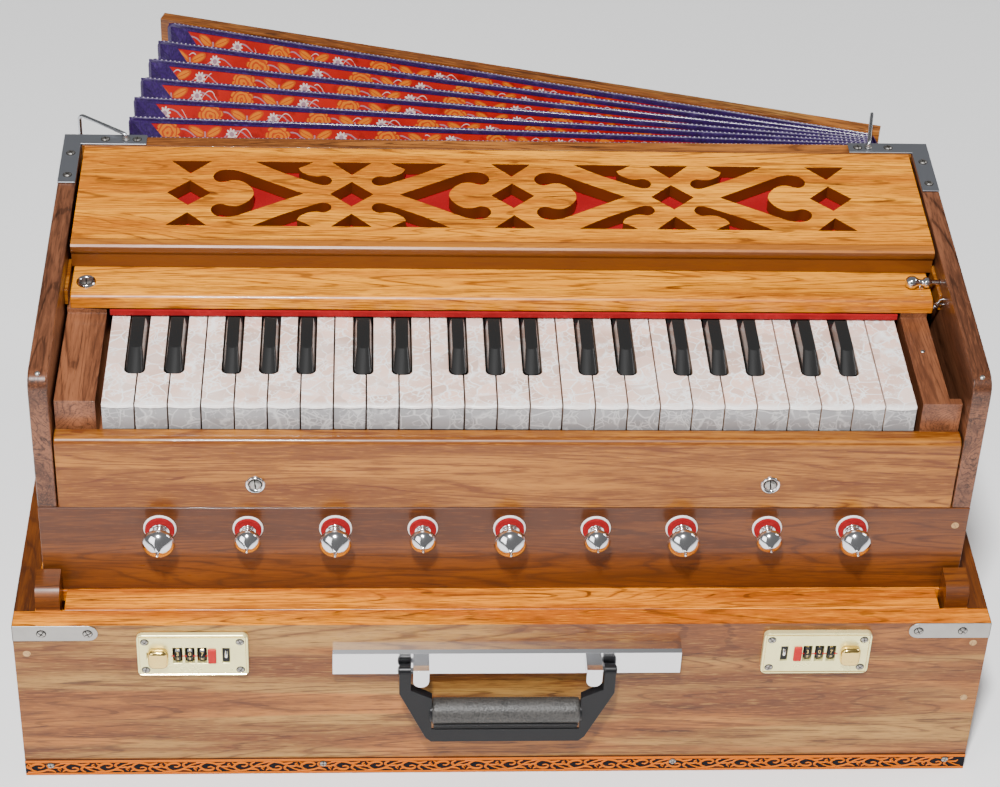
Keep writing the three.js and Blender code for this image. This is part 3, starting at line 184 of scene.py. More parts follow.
class Tone:
    """A shader value; Python's operators on it add Math nodes."""

    def __init__(self, finish, socket):
        self.finish = finish
        self.socket = socket

    def maths(self, operation, *others):
        return self.finish.maths(operation, self, *others)

    def __add__(self, other):
        return self.maths("ADD", other)

    def __sub__(self, other):
        return self.maths("SUBTRACT", other)

    def __mul__(self, other):
        return self.maths("MULTIPLY", other)

    def __truediv__(self, other):
        return self.maths("DIVIDE", other)

    def __lt__(self, other):
        return self.maths("LESS_THAN", other)

    def __gt__(self, other):
        return self.maths("GREATER_THAN", other)

    def __abs__(self):
        return self.maths("ABSOLUTE")

    def __rsub__(self, other):
        return self.finish.maths("SUBTRACT", other, self)

    def __rtruediv__(self, other):
        return self.finish.maths("DIVIDE", other, self)

    __radd__ = __add__
    __rmul__ = __mul__


class Finish:
    """A procedural material and the calls that grow its node tree."""

    def __init__(self, name):
        self.material = bpy.data.materials.new(name)
        self.material.use_nodes = True
        self.tree = self.material.node_tree
        self.shader = self.tree.nodes["Principled BSDF"]

    def node(self, kind, settings=None, inputs=None, output=0):
        """Adds a node, its settings first and then the values or links of its sockets."""
        made = self.tree.nodes.new(kind)
        for key, value in (settings or {}).items():
            setattr(made, key, value)
        for key, value in (inputs or {}).items():
            self.feed(made.inputs[key], value)
        return Tone(self, made.outputs[output])

    def feed(self, socket, value):
        if isinstance(value, Tone):
            self.tree.links.new(value.socket, socket)
        elif socket.type == "RGBA" and len(value) == 3:
            socket.default_value = (*value, 1)
        else:
            socket.default_value = value

    def maths(self, operation, *values):
        return self.node("ShaderNodeMath", {"operation": operation}, dict(enumerate(values)))

    def vector(self, operation, *values):
        settings = {"operation": operation}
        return self.node("ShaderNodeVectorMath", settings, dict(enumerate(values)))

    def mix(self, share, first, second):
        settings = {"data_type": "RGBA"}
        return self.node("ShaderNodeMix", settings, {0: share, 6: first, 7: second}, 2)

    def choose(self, share, first, second):
        settings = {"data_type": "VECTOR"}
        return self.node("ShaderNodeMix", settings, {0: share, 4: first, 5: second}, 1)

    def rise(self, value, low, high):
        """0 below low and 1 above high, smooth between them."""
        settings = {"interpolation_type": "SMOOTHSTEP"}
        return self.node("ShaderNodeMapRange", settings, {0: value, 1: low, 2: high})

    def place(self):
        return self.node("ShaderNodeTexCoord", output=3)

    def stored(self, name):
        return self.node("ShaderNodeAttribute", {"attribute_name": name}, output=1)

    def parts(self, vector):
        split = self.node("ShaderNodeSeparateXYZ", {}, {0: vector}).socket.node
        return [Tone(self, split.outputs[i]) for i in range(3)]

    def join(self, x, y, z=0.0):
        return self.node("ShaderNodeCombineXYZ", {}, {0: x, 1: y, 2: z})

    def facing(self):
        """The face's direction in the world, which turns with a piece that moves."""
        return self.parts(self.node("ShaderNodeNewGeometry", output=1))

    def noise(self, vector, scale, detail=2.0, roughness=0.5, distortion=0.0):
        inputs = {
            "Vector": vector,
            "Scale": scale,
            "Detail": detail,
            "Roughness": roughness,
            "Distortion": distortion,
        }
        return self.node("ShaderNodeTexNoise", {}, inputs)

    def cells(self, vector, scale, feature="F1", output=0):
        inputs = {"Vector": vector, "Scale": scale, "Randomness": 1.0}
        return self.node("ShaderNodeTexVoronoi", {"feature": feature}, inputs, output)

    def surface(self, shade, roughness, height=None, distance=0.1 * MM, **constants):
        """Feeds the shader; what has a keyword here is the same all over the surface."""
        self.feed(self.shader.inputs["Base Color"], shade)
        self.feed(self.shader.inputs["Roughness"], roughness)
        for key, value in constants.items():
            self.feed(self.shader.inputs[key.replace("_", " ")], value)
        if height is not None:
            bump = {"Height": height, "Distance": distance, "Strength": 1.0}
            self.feed(self.shader.inputs["Normal"], self.node("ShaderNodeBump", {}, bump))
        return self.material


# Finishes


def tones():
    return bpy.context.scene.harmonium_colours


def wood(
    name, pale, deep, streak, along="X", seed=0.0, turn=0.0, gloss=0.24, coat=0.3,
    dark=1.0, warm=None, ends=None, crown=None, cut=None, front=None,
):
    """Polished teak: broad bands, growth lines, dark streaks, fibres and pores along one axis.

    warm: a second pale tone. ends: how far out and back the side boards begin. crown: pale and deep
    tones of the top edges, then of the side boards. cut: tone of the upright faces behind the plane
    front, their own darker wood deepened as painted shade; before that plane lies a separate reddish
    board, darker in its own right and darkened further as painted shade, most on its upright faces."""
    finish = Finish(name)
    here = finish.place()
    board = here
    if turn:
        turned = {"Vector": here, "Angle": turn}
        board = finish.node("ShaderNodeVectorRotate", {"rotation_type": "Z_AXIS"}, turned)
    board = finish.vector("ADD", board, (seed, 0.37 * seed, 0.61 * seed))
    stretch = {axis: tuple(1 if other == axis else ACROSS_GRAIN for other in "XYZ") for axis in "XY"}
    grain = finish.vector("MULTIPLY", board, stretch[along])
    if ends is not None:
        x, y, z = finish.parts(here)
        side = (abs(x) > ends[0]) * (y > ends[1])
        grain = finish.choose(side, grain, finish.vector("MULTIPLY", board, stretch["Y"]))
    if warm is not None:
        pale = finish.mix(finish.rise(finish.noise(grain, 3.1, 1.0), 0.47, 0.56), pale, warm)
    if crown is not None:
        side = side.maths("MAXIMUM", z > RIM + 1 * MM)
        top = (finish.facing()[2] > 0.7) * (1 - side)
        pale = finish.mix(top, finish.mix(side, pale, crown[2]), crown[0])
        deep = finish.mix(top, finish.mix(side, deep, crown[3]), crown[1])
    figure = finish.noise(grain, 1.7, 2.0, 0.45, 0.5)
    tide = finish.noise(grain, 4.2, 2.0, 0.5, 0.2)
    lines = (figure * 170 + tide * 8).maths("SINE")
    fibre = finish.noise(grain, 19, 3.0, 0.65)
    hair = finish.noise(grain, 64, 2.0, 0.6)
    streaks = finish.rise(finish.noise(grain, 7.5, 3.0, 0.6, 0.4), 0.50, 0.64)
    shade = finish.mix(finish.rise(tide * 0.6 + figure * 0.4, 0.40, 0.60), pale, deep)
    band = finish.rise(lines, -0.1, 1.0) * finish.rise(fibre, 0.3, 0.6) * 0.65
    shade = finish.mix(band * dark, shade, deep)
    ring = finish.rise(lines, 0.84, 0.97) * (streaks * 0.4 + 0.6) * finish.rise(fibre, 0.28, 0.46)
    shade = finish.mix(ring * dark, shade, streak)
    shade = finish.mix(streaks * finish.rise(fibre, 0.35, 0.62) * 0.62 * dark, shade, streak)
    shade = finish.mix(finish.rise(fibre, 0.44, 0.62) * 0.36, shade, deep)
    shade = finish.mix(finish.rise(hair, 0.53, 0.66) * 0.46, shade, streak)
    shade = finish.mix((1 - finish.rise(hair, 0.34, 0.46)) * 0.45, shade, pale)
    if cut is not None:
        y = finish.parts(here)[1]
        # Upright cut walls: stained darker wood, deepened as painted shade
        sawn_and_shaded = (abs(finish.facing()[2]) < 0.6) * (y > front)
        shade = finish.mix(sawn_and_shaded, shade, cut)
        # Before the front plane: a separate reddish board, partly painted shade
        shade = finish.mix((y < front) * 0.75, shade, (0.26, 0.085, 0.016, 1))
        shade = finish.mix(finish.maths("COMPARE", y, front, 0.4 * MM) * 0.8, shade, streak)
        # Upright faces of that board darkened more: painted shade
        low = (y < front) * (finish.facing()[2] < 0.5)
        shade = finish.mix(low * 0.85, shade, (0.095, 0.026, 0.005, 1))
    rough = hair * 0.16 + fibre * 0.1 + gloss - 0.05
    height = fibre * 0.35 + hair * 0.4
    return finish.surface(
        shade, rough, height, 0.06 * MM,
        Coat_Weight=coat * 0.5, Coat_Roughness=0.05, Specular_IOR_Level=0.3,
    )


def teak(name, **changes):
    c = tones()
    return wood(name, c.teak_pale, c.teak_deep, c.teak_streak, warm=c.teak_warm, **changes)


def case_crown():
    c = tones()
    return c.deck_pale, c.deck_deep, c.board_pale, c.board_deep


def boards(name, kind, streak=None, **changes):
    """Wood in the pale and deep tones of one kind, with golden streaks unless others are given."""
    c = tones()
    pale, deep = getattr(c, f"{kind}_pale"), getattr(c, f"{kind}_deep")
    return wood(name, pale, deep, streak or c.golden_streak, **changes)


def raw_wood(name, **changes):
    c = tones()
    deep = [t * 0.72 for t in c.raw_pale]
    return wood(name, c.raw_pale, deep, (0.22, 0.12, 0.05), gloss=0.62, coat=0.0, **changes)


def plated(name, shade, roughness, wear, metallic=1.0):
    """Polished or plated metal with faint clouding and fine scratches."""
    finish = Finish(name)
    here = finish.place()
    cloud = finish.noise(here, 55, 3.0)
    scratch = finish.rise(finish.noise(finish.vector("MULTIPLY", here, (1, 9, 9)), 420, 2.0), 0.55, 0.7)
    tarnish = finish.mix(finish.rise(cloud, 0.45, 0.8) * 0.35, shade, [s * 0.72 for s in shade])
    rough = cloud * wear + scratch * wear + roughness
    height = cloud * 0.5 + scratch * 0.3
    return finish.surface(tarnish, rough, height, 0.02 * MM, Metallic=metallic)


def hammered(name, shade):
    """Grey lacquered steel with a fine speckle."""
    finish = Finish(name)
    here = finish.place()
    speck = finish.cells(here, 900)
    cloud = finish.noise(here, 160, 3.0)
    tone = finish.mix(finish.rise(speck, 0.2, 0.7), shade, [s * 0.55 for s in shade])
    return finish.surface(tone, cloud * 0.2 + 0.3, speck + cloud, 0.12 * MM, Metallic=0.75)


def moulded(name, shade, roughness):
    """Moulded plastic with a faint skin."""
    finish = Finish(name)
    here = finish.place()
    skin = finish.noise(here, 700, 2.0)
    cloud = finish.noise(here, 45, 2.0)
    tone = finish.mix(cloud * 0.5, shade, [s * 1.4 + 0.002 for s in shade])
    rough = cloud * 0.14 + roughness
    return finish.surface(tone, rough, skin, 0.05 * MM, Specular_IOR_Level=0.25)


def grip_skin(name):
    """Grey grained vinyl of the grip."""
    finish = Finish(name)
    here = finish.place()
    grain = finish.cells(here, 720, "SMOOTH_F1")
    cloud = finish.noise(here, 90, 3.0)
    patch = finish.rise(grain * 0.5 + cloud * 0.5, 0.2, 0.65)
    tone = finish.mix(patch, (0.012, 0.011, 0.010), (0.052, 0.048, 0.044))
    return finish.surface(tone, cloud * 0.2 + 0.42, grain, 0.25 * MM)


def lever_wood(finish, here, dark, pale):
    """Plain wood of the key levers, its grain running front to back."""
    grain = finish.vector("MULTIPLY", here, (ACROSS_GRAIN, 1, ACROSS_GRAIN))
    return finish.mix(finish.noise(grain, 21, 3.0, 0.6), dark, pale)


def celluloid(name):
    """Pearly sheet with crackle, cut afresh for each key, over plain wood."""
    c = tones()
    finish = Finish(name)
    here = finish.place()
    x, y, z = finish.parts(here)
    key = ((x + KEYBOARD_HALF) / NATURAL_PITCH).maths("FLOOR")
    own = finish.vector("ADD", here, finish.join(key * 0.137, key * 0.291, key * 0.173))
    warp = finish.noise(own, 60, 2.0)
    bent = finish.vector("ADD", own, finish.join(warp * 0.012, warp * 0.009, warp * 0.004))
    flake = finish.parts(finish.cells(bent, 78, "F1", 1))[0]
    wide = finish.cells(bent, 78, "DISTANCE_TO_EDGE")
    fine = finish.cells(bent, 210, "DISTANCE_TO_EDGE")
    patchy = finish.rise(finish.noise(own, 90, 3.0, 0.6), 0.46, 0.58)
    broken = finish.rise(finish.noise(own, 46, 2.0), 0.40, 0.55)
    veins = (1 - finish.rise(wide, 0.004, 0.060)) * (broken * 0.75 + 0.25)
    veins = veins.maths("MAXIMUM", (1 - finish.rise(fine, 0.01, 0.13)) * patchy * 0.9)
    smoke = finish.rise(finish.noise(own, 150, 4.0, 0.7), 0.50, 0.66) * patchy
    cloud = finish.rise(finish.noise(own, 30, 3.0), 0.40, 0.68)
    tone = finish.mix(flake, [t * 0.80 for t in c.pearl], [min(1, t * 1.18) for t in c.pearl])
    tone = finish.mix(cloud * 0.4, tone, (0.97, 0.86, 0.80, 1))
    tone = finish.mix(veins.maths("MAXIMUM", smoke * 0.8), tone, c.pearl_vein)
    low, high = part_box("white_keys_low")
    sheet_bottom = high.z - SHEET_THICKNESS
    head = (finish.facing()[1] < -0.5) * (z < sheet_bottom)
    grey = finish.mix(veins * 0.6 + flake * 0.25, (0.23, 0.222, 0.225, 1), (0.56, 0.54, 0.53, 1))
    tone = finish.mix(head, tone, grey)
    lever = ((y > low.y + 3 * MM) * (z < sheet_bottom)).maths("MAXIMUM", y > STRIP_LOW.y + 8 * MM)
    # Near-white band over the sheet's front edge and the first few mm of each key top: a painted highlight
    edge = finish.rise(y, low.y + 1 * MM, low.y + 6 * MM)
    tone = finish.mix((1 - edge) * (1 - head) * 0.7, tone, (1.0, 0.99, 0.97, 1))
    tone = finish.mix(lever, tone, lever_wood(finish, here, (0.30, 0.16, 0.075), (0.52, 0.33, 0.18)))
    rough = flake * 0.12 + lever * 0.4 + 0.16
    height = veins * 0.3 + flake * 0.6
    return finish.surface(tone, rough, height, 0.035 * MM, Coat_Weight=0.25, Coat_Roughness=0.05)


def ebony(name):
    """Polished black caps over brown levers."""
    finish = Finish(name)
    here = finish.place()
    _, y, z = finish.parts(here)
    cap_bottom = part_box("black_keys_low")[1].z - CAP_HEIGHT
    lever = (z < cap_bottom).maths("MAXIMUM", y > STRIP_LOW.y - CAP_END - CAP_SETBACK)
    rub = finish.noise(here, 260, 3.0)
    tone = finish.mix(rub * 0.5, (0.003, 0.003, 0.004, 1), (0.010, 0.010, 0.012, 1))
    timber = lever_wood(finish, here, (0.085, 0.037, 0.018), (0.20, 0.10, 0.05))
    tone = finish.mix(lever, tone, timber)
    rough = rub * 0.08 + lever * 0.3 + 0.12
    return finish.surface(tone, rough, rub, 0.012 * MM, Specular_IOR_Level=0.1)


def felt(name):
    """Woollen felt: matted fibres with a soft nap."""
    red = tones().felt
    finish = Finish(name)
    here = finish.place()
    nap = finish.noise(here, 1500, 4.0, 0.7)
    tuft = finish.noise(here, 240, 3.0)
    tone = finish.mix(nap * 0.55, red, [t * 0.45 for t in red])
    tone = finish.mix(finish.rise(tuft, 0.5, 0.8) * 0.3, tone, [min(1, t * 1.5 + 0.02) for t in red])
    return finish.surface(
        tone, nap * 0.1 + 0.85, nap + tuft * 0.5, 0.5 * MM,
        Sheen_Weight=0.08, Sheen_Roughness=0.4, Specular_IOR_Level=0.2,
    )


def woven(name):
    """Thin plain-weave cloth."""
    shade = tones().felt
    finish = Finish(name)
    here = finish.place()
    x, y, _ = finish.parts(here)
    thread = 2 * math.pi / (0.55 * MM)
    weave = (x * thread).maths("SINE") * (y * thread).maths("SINE") * 0.5 + 0.5
    slub = finish.noise(finish.vector("MULTIPLY", here, (1, 20, 1)), 60, 3.0)
    tone = finish.mix(weave * 0.3 + slub * 0.25, shade, [t * 0.5 for t in shade])
    return finish.surface(
        tone, slub * 0.1 + 0.8, weave + slub, 0.12 * MM,
        Sheen_Weight=0.02, Sheen_Roughness=0.5, Specular_IOR_Level=0.1,
    )


def leather_tone(finish, here):
    """Colour, roughness and height of grained violet leather cloth."""
    violet = tones().violet
    pebble = finish.cells(here, 620, "SMOOTH_F1")
    rub = finish.noise(here, 130, 3.0, 0.6)
    tone = finish.mix(finish.rise(pebble, 0.1, 0.75), violet, [t * 0.5 for t in violet])
    worn = finish.rise(rub, 0.52, 0.78)
    tone = finish.mix(worn * 0.35, tone, [min(1, t * 1.9 + 0.05) for t in violet])
    return tone, pebble * 0.2 + rub * 0.2 + 0.28, pebble + rub * 0.6


def leather(name):
    """Violet leather cloth of ribs and hinge."""
    finish = Finish(name)
    tone, rough, height = leather_tone(finish, finish.place())
    return finish.surface(tone, rough, height, 0.28 * MM, Coat_Weight=0.4, Coat_Roughness=0.14)


def stitched(name):
    """Leather folded over a leaf, sewn along its crest with pale thread; the dashes show only where the crest
    faces up, so they are also painted highlights.
    """
    finish = Finish(name)
    here = finish.place()
    tone, rough, height = leather_tone(finish, here)
    crest = finish.facing()[2] > 0.82
    x = finish.parts(here)[0]
    # Pale dashes only on crest faces that point up: thread and painted highlight together
    stitch = finish.rise((x * (2 * math.pi / (3.4 * MM))).maths("SINE"), 0.35, 0.7) * crest
    tone = finish.mix(stitch * 0.75, tone, (0.46, 0.40, 0.52, 1))
    return finish.surface(
        tone, rough, height + stitch, 0.3 * MM, Coat_Weight=0.4, Coat_Roughness=0.12
    )


def flower(finish, u, v, petals, radius, depth, turn):
    """Mask of a flower round (0, 0), and how far out a place lies in shares of its radius."""
    reach = (u * u + v * v).maths("SQRT")
    lobes = abs((v.maths("ARCTAN2", u) * (petals / 2) + turn).maths("COSINE"))
    rim = (lobes * depth + (1 - depth)) * radius
    return 1 - finish.rise(reach / rim, 0.93, 1.03), reach / radius


def stroke(finish, distance, half):
    """Mask of a line, from the distance to its middle and its half width."""
    return 1 - finish.rise(abs(distance), half * 0.7, half * 1.3)


def printed_cloth(name):
    """Orange-red cotton with marigolds, leaf pairs, small white blossoms and trailing stems.

    The mesh stores run, depth and corner distance of each point as print_place."""
    c = tones()
    sizes = bpy.context.scene.harmonium_sizes
    finish = Finish(name)
    along, down, corner = finish.parts(finish.stored("print_place"))
    flat = finish.join(along, down)
    wobble = finish.noise(flat, 150, 2.0) - 0.5
    row = (down / FOLD_DEPTH).maths("FLOOR")
    dice = finish.parts(finish.node(
        "ShaderNodeTexWhiteNoise", {"noise_dimensions": "1D"}, {"W": row}, 1))
    v = (down / FOLD_DEPTH - row - 0.5) * FOLD_DEPTH + wobble * 1.2 * MM
    pitch = sizes.print_pitch
    run = along + dice[0] * pitch + wobble * 1.6 * MM

    def motif(offset):
        return ((run / pitch + offset).maths("FRACT") - 0.5) * pitch

    bloom, ring = flower(finish, motif(0.0), (v - 2.5 * MM) * 1.15, 9, 10.5 * MM, 0.3, dice[1] * 3)
    small, small_ring = flower(finish, motif(0.42), v - 3 * MM, 9, 4.4 * MM, 0.5, dice[2] * 3)
    mirrored = abs(motif(0.66))
    leaf_u, leaf_v = mirrored - 6.5 * MM, v - mirrored * 0.4 - 1.5 * MM
    leaf_reach = (leaf_u * leaf_u / 34 + leaf_v * leaf_v / 10) * 1e6
    leaf = 1 - finish.rise(leaf_reach, 0.85, 1.1)
    leaf_vein = stroke(finish, leaf_v - leaf_u * 0.1, 0.3 * MM)
    stem = stroke(finish, motif(0.66) + (v * 260).maths("SINE") * 0.5 * MM, 0.6 * MM) * (v < 4 * MM)
    vine = v - (run * (2 * math.pi * 2 / pitch)).maths("SINE") * 5.5 * MM
    vine = stroke(finish, vine, 0.5 * MM)
    curl = v + (run * (2 * math.pi * 3 / pitch) + 1).maths("SINE") * 7 * MM
    curl = stroke(finish, curl, 0.34 * MM) * (finish.noise(flat, 28, 1.0) > 0.5)
    cloud = finish.noise(flat, 38, 3.0)
    ground = finish.mix(finish.rise(cloud, 0.3, 0.75) * 0.6, c.print_ground, (0.42, 0.008, 0.0006, 1))
    shadow = finish.rise(finish.noise(flat, 90, 2.0), 0.55, 0.72) * 0.5
    ground = finish.mix(shadow, ground, (0.10, 0.001, 0.0005, 1))
    tone = finish.mix(vine.maths("MAXIMUM", stem) * 0.9, ground, c.print_stem)
    tone = finish.mix(curl * 0.8, tone, c.print_white)
    tone = finish.mix(leaf, tone, c.print_gold)
    leaf_lines = leaf_vein.maths("MAXIMUM", finish.rise(leaf_reach, 0.45, 0.8))
    tone = finish.mix(leaf * leaf_lines * 0.8, tone, (0.30, 0.022, 0.0006, 1))
    lobes = (ring * 21 + wobble * 9).maths("SINE")
    petal = finish.mix(finish.rise(lobes, -0.1, 0.7) * 0.9, c.print_gold, (0.34, 0.026, 0.001, 1))
    petal = finish.mix(finish.rise(ring, 0.80, 0.92) * 0.9, petal, (0.26, 0.008, 0.0006, 1))
    tone = finish.mix(bloom, tone, petal)
    heart = finish.mix(small_ring < 0.4, c.print_white, c.print_stem)
    tone = finish.mix(small, tone, heart)
    thread = 2 * math.pi / (0.7 * MM)
    weave = (along * thread).maths("SINE") * (down * thread).maths("SINE") * 0.5 + 0.5
    skin, skin_rough, skin_height = leather_tone(finish, finish.join(along, down, corner))
    fold = down.maths("MODULO", FOLD_DEPTH * 2)
    edge = fold.maths("MINIMUM", FOLD_DEPTH * 2 - fold)
    over = finish.rise(edge, sizes.tape_depth - 0.2 * MM, sizes.tape_depth + 0.2 * MM)
    patch = 1 - finish.rise(corner - edge, sizes.gusset - 0.4 * MM, sizes.gusset + 0.4 * MM)
    violet = (1 - over).maths("MAXIMUM", patch)
    tone = finish.mix(weave * 0.18, tone, (0.12, 0.02, 0.01, 1))
    tone = finish.mix(violet, tone, skin)
    rough = violet * (skin_rough - 0.55) + 0.55
    height = violet * (skin_height * 0.6 + 1.5) + (1 - violet) * weave * 0.35
    return finish.surface(tone, rough, height, 0.22 * MM, Specular_IOR_Level=0.1)


def brushed(finish, brush, tone, roughness):
    """Closes a finish that is brushed on along the strip."""
    rough = brush * 0.15 + roughness
    return finish.surface(tone, rough, brush, 0.06 * MM, Specular_IOR_Level=0.08)


def brush_marks(finish):
    return finish.noise(finish.vector("MULTIPLY", finish.place(), (1, 12, 12)), 60, 3.0)


def border_lacquer(name):
    """Orange lacquer of the scroll and its fillets."""
    shade = tones().border
    finish = Finish(name)
    brush = brush_marks(finish)
    tone = finish.mix(brush * 0.5, shade, [s * 0.55 for s in shade])
    return brushed(finish, brush, tone, 0.35)


def border_ground(name):
    """Black ground behind the scroll, stained wood on the other faces."""
    finish = Finish(name)
    brush = brush_marks(finish)
    stain = finish.mix(brush, tones().teak_deep, tones().teak_streak)
    front = finish.facing()[1] < -0.7
    tone = finish.mix(front, stain, (0.006, 0.006, 0.009, 1))
    return brushed(finish, brush, tone, 0.5)


FINISHES = {
    "case teak": lambda n: teak(
        n, dark=0.8, seed=0.3, crown=case_crown(),
        ends=(CASE_HIGH.x - SIDE_BOARD, CASE_FRONT + SIDE_BOARD),
    ),
    "deck teak": lambda n: boards(n, "deck", seed=1.9, coat=0.14),
    "board teak": lambda n: boards(n, "board", (0.06, 0.018, 0.006), seed=2.7, coat=0.4),
    "chest teak": lambda n: teak(n, seed=4.1, ends=(BOARD_HIGH.x - 13.5 * MM, UNIT_FRONT + 10 * MM)),
    "cheek teak": lambda n: boards(n, "cheek", (0.02, 0.007, 0.003), along="Y", seed=5.2, coat=0.4),
    "slip teak": lambda n: boards(n, "slip", seed=6.6, coat=0.3, dark=1.1),
    "strip teak": lambda n: boards(n, "golden", seed=7.3, coat=0.18, dark=1.1),
    # The cut tone and the board before the front plane carry painted shade over darker wood
    "lid teak": lambda n: boards(
        n, "golden", seed=8.8, coat=0.22, cut=(0.105, 0.020, 0.003), front=0.6 * MM
    ),
    "block teak": lambda n: wood(
        n, (0.27, 0.098, 0.042), (0.13, 0.044, 0.019), (0.055, 0.018, 0.008), along="Y", seed=9.4
    ),
    "pump teak": lambda n: teak(n, turn=LEAF_ANGLE * FOLDS, seed=10.7),
    "plain wood": lambda n: raw_wood(n, seed=11.1),
    "plug wood": lambda n: raw_wood(n, along="Y", seed=12.4),
    "chrome": lambda n: plated(n, (0.96, 0.96, 0.97), 0.05, 0.05),
    "nickel": lambda n: plated(n, (0.42, 0.40, 0.375), 0.3, 0.16),
    "wire": lambda n: plated(n, (0.56, 0.57, 0.60), 0.18, 0.12),
    "brass": lambda n: plated(n, (0.80, 0.56, 0.22), 0.2, 0.12),
    "bright gold": lambda n: plated(n, (0.92, 0.66, 0.22), 0.1, 0.08),
    "plate gold": lambda n: plated(n, tones().plate, 0.24, 0.08, metallic=0.55),
    "gunmetal": lambda n: hammered(n, (0.25, 0.253, 0.268)),
    "black plastic": lambda n: moulded(n, (0.005, 0.005, 0.006), 0.26),
    # Near-black countersink under the screw heads: painted shadow
    "dark recess": lambda n: moulded(n, (0.02, 0.018, 0.016), 0.6),
    "white plastic": lambda n: moulded(n, (0.78, 0.77, 0.75), 0.3),
    "red plastic": lambda n: moulded(n, (0.40, 0.006, 0.006), 0.35),
    "grip vinyl": grip_skin,
    "celluloid": celluloid,
    "ebony": ebony,
    "red felt": felt,
    "red cloth": woven,
    "printed cloth": printed_cloth,
    "violet leather": leather,
    "stitched leather": stitched,
    "border orange": border_lacquer,
    "border black": border_ground,
}


def material(name):
    return bpy.data.materials.get(name) or FINISHES[name](name)


# Shapes


class Shape:
    """Points and faces gathered for one piece, in metres in the instrument's frame."""

    def __init__(self):
        self.points = []
        self.faces = []
        self.marks = []

    def skin(self, rings, closed=False):
        """Joins rings that have the same number of points; open rows get end caps."""
        start, size = len(self.points), len(rings[0])
        for ring in rings:
            self.points.extend(Vector(point) for point in ring)
        for i in range(len(rings) if closed else len(rings) - 1):
            a = start + i * size
            b = start + (i + 1) % len(rings) * size
            for j in range(size):
                k = (j + 1) % size
                self.faces.append((a + j, a + k, b + k, b + j))
        if not closed:
            self.faces.append([start + j for j in reversed(range(size))])
            self.faces.append([start + (len(rings) - 1) * size + j for j in range(size)])
        return self

    def turned(self, profile, centre, axis, steps=28, closed=False):
        """Turns [radius, along] points about an axis through centre."""
        axis = Vector(axis).normalized()
        side = axis.orthogonal().normalized()
        up = axis.cross(side)
        angles = [2 * math.pi * i / steps for i in range(steps)]
        spokes = [side * math.cos(a) + up * math.sin(a) for a in angles]
        rings = [
            [Vector(centre) + axis * along + spoke * max(radius, 0.01 * MM) for spoke in spokes]
            for radius, along in profile
        ]
        return self.skin(rings, closed)

    def tube(self, points, radius, sides=8, closed=False):
        """A round wire along a row of points."""
        points = [Vector(p) for p in points]
        count = len(points)
        rings, side = [], None
        for i, point in enumerate(points):
            after = points[(i + 1) % count] if closed or i + 1 < count else point
            before = points[i - 1] if closed or i > 0 else point
            tangent = (after - before).normalized()
            if side is None:
                side = tangent.orthogonal().normalized()
            side = (side - tangent * side.dot(tangent)).normalized()
            up = tangent.cross(side)
            size = radius(i / (count - 1)) if callable(radius) else radius
            angles = [2 * math.pi * j / sides for j in range(sides)]
            rings.append([point + (side * math.cos(a) + up * math.sin(a)) * size for a in angles])
        return self.skin(rings, closed)

    def prism(self, outline, depth, across, along, origin=(0, 0, 0)):
        """Pushes a flat outline through depth; across and along are its axes."""
        across, along, origin = Vector(across), Vector(along), Vector(origin)
        normal = across.cross(along)
        base = [origin + across * a + along * b for a, b in outline]
        return self.skin([base, [point + normal * depth for point in base]])

    def block(self, low, high):
        outline = [(low[0], low[1]), (high[0], low[1]), (high[0], high[1]), (low[0], high[1])]
        return self.prism(outline, high[2] - low[2], (1, 0, 0), (0, 1, 0), (0, 0, low[2]))

    def sheet(self, grid, thickness, marks=None):
        """A thin closed shell over a grid of points; marks are stored with its points."""
        rows, columns = len(grid), len(grid[0])
        start = len(self.points)
        layers = ([], [])
        for i in range(rows):
            for j in range(columns):
                ahead = grid[min(i + 1, rows - 1)][j] - grid[max(i - 1, 0)][j]
                beside = grid[i][min(j + 1, columns - 1)] - grid[i][max(j - 1, 0)]
                normal = ahead.cross(beside).normalized() * (thickness / 2)
                layers[0].append(grid[i][j] + normal)
                layers[1].append(grid[i][j] - normal)
        self.points.extend(layers[0] + layers[1])
        if marks is not None:
            self.marks.extend([mark for row in marks for mark in row] * 2)
        other = rows * columns

        def at(i, j):
            return start + i * columns + j

        for i in range(rows - 1):
            for j in range(columns - 1):
                face = (at(i, j), at(i, j + 1), at(i + 1, j + 1), at(i + 1, j))
                self.faces.append(face)
                self.faces.append(tuple(v + other for v in reversed(face)))
        rim = [at(0, j) for j in range(columns)] + [at(i, columns - 1) for i in range(1, rows)]
        rim += [at(rows - 1, j) for j in reversed(range(columns - 1))]
        rim += [at(i, 0) for i in reversed(range(1, rows - 1))]
        for one, two in zip(rim, rim[1:] + rim[:1]):
            self.faces.append((two, one, one + other, two + other))
        return self

    def mesh(self, name):
        mesh = bpy.data.meshes.new(name)
        mesh.from_pydata(self.points, [], self.faces)
        return mesh

    def without(self, tools):
        """This solid less the solids of another shape."""
        solid, cutter = (bpy.data.objects.new("raw", shape.mesh("raw")) for shape in (self, tools))
        for made in (solid, cutter):
            settle(made.data, 30)
            bpy.context.scene.collection.objects.link(made)
        openings = solid.modifiers.new("openings", "BOOLEAN")
        openings.operation, openings.solver, openings.object = "DIFFERENCE", "EXACT", cutter
        mesh = baked(solid)
        left = Shape()
        left.points = [vertex.co.copy() for vertex in mesh.vertices]
        left.faces = [list(face.vertices) for face in mesh.polygons]
        for made in (solid, cutter):
            bpy.data.objects.remove(made)
        return left

    def piece(self, name, body, finish, slot, smooth=38, bevel=0.0, steps=2):
        """Makes the Blender object, dresses it and lets it ride on its body."""
        mesh = self.mesh(name)
        if self.marks:
            stored = mesh.attributes.new("print_place", "FLOAT_VECTOR", "POINT")
            stored.data.foreach_set("vector", [value for mark in self.marks for value in mark])
        settle(mesh, smooth)
        made = bpy.data.objects.new(name, mesh)
        bpy.context.scene.collection.objects.link(made)
        if bevel:
            ease(made, bevel, steps)
        return dress(made, finish, body)


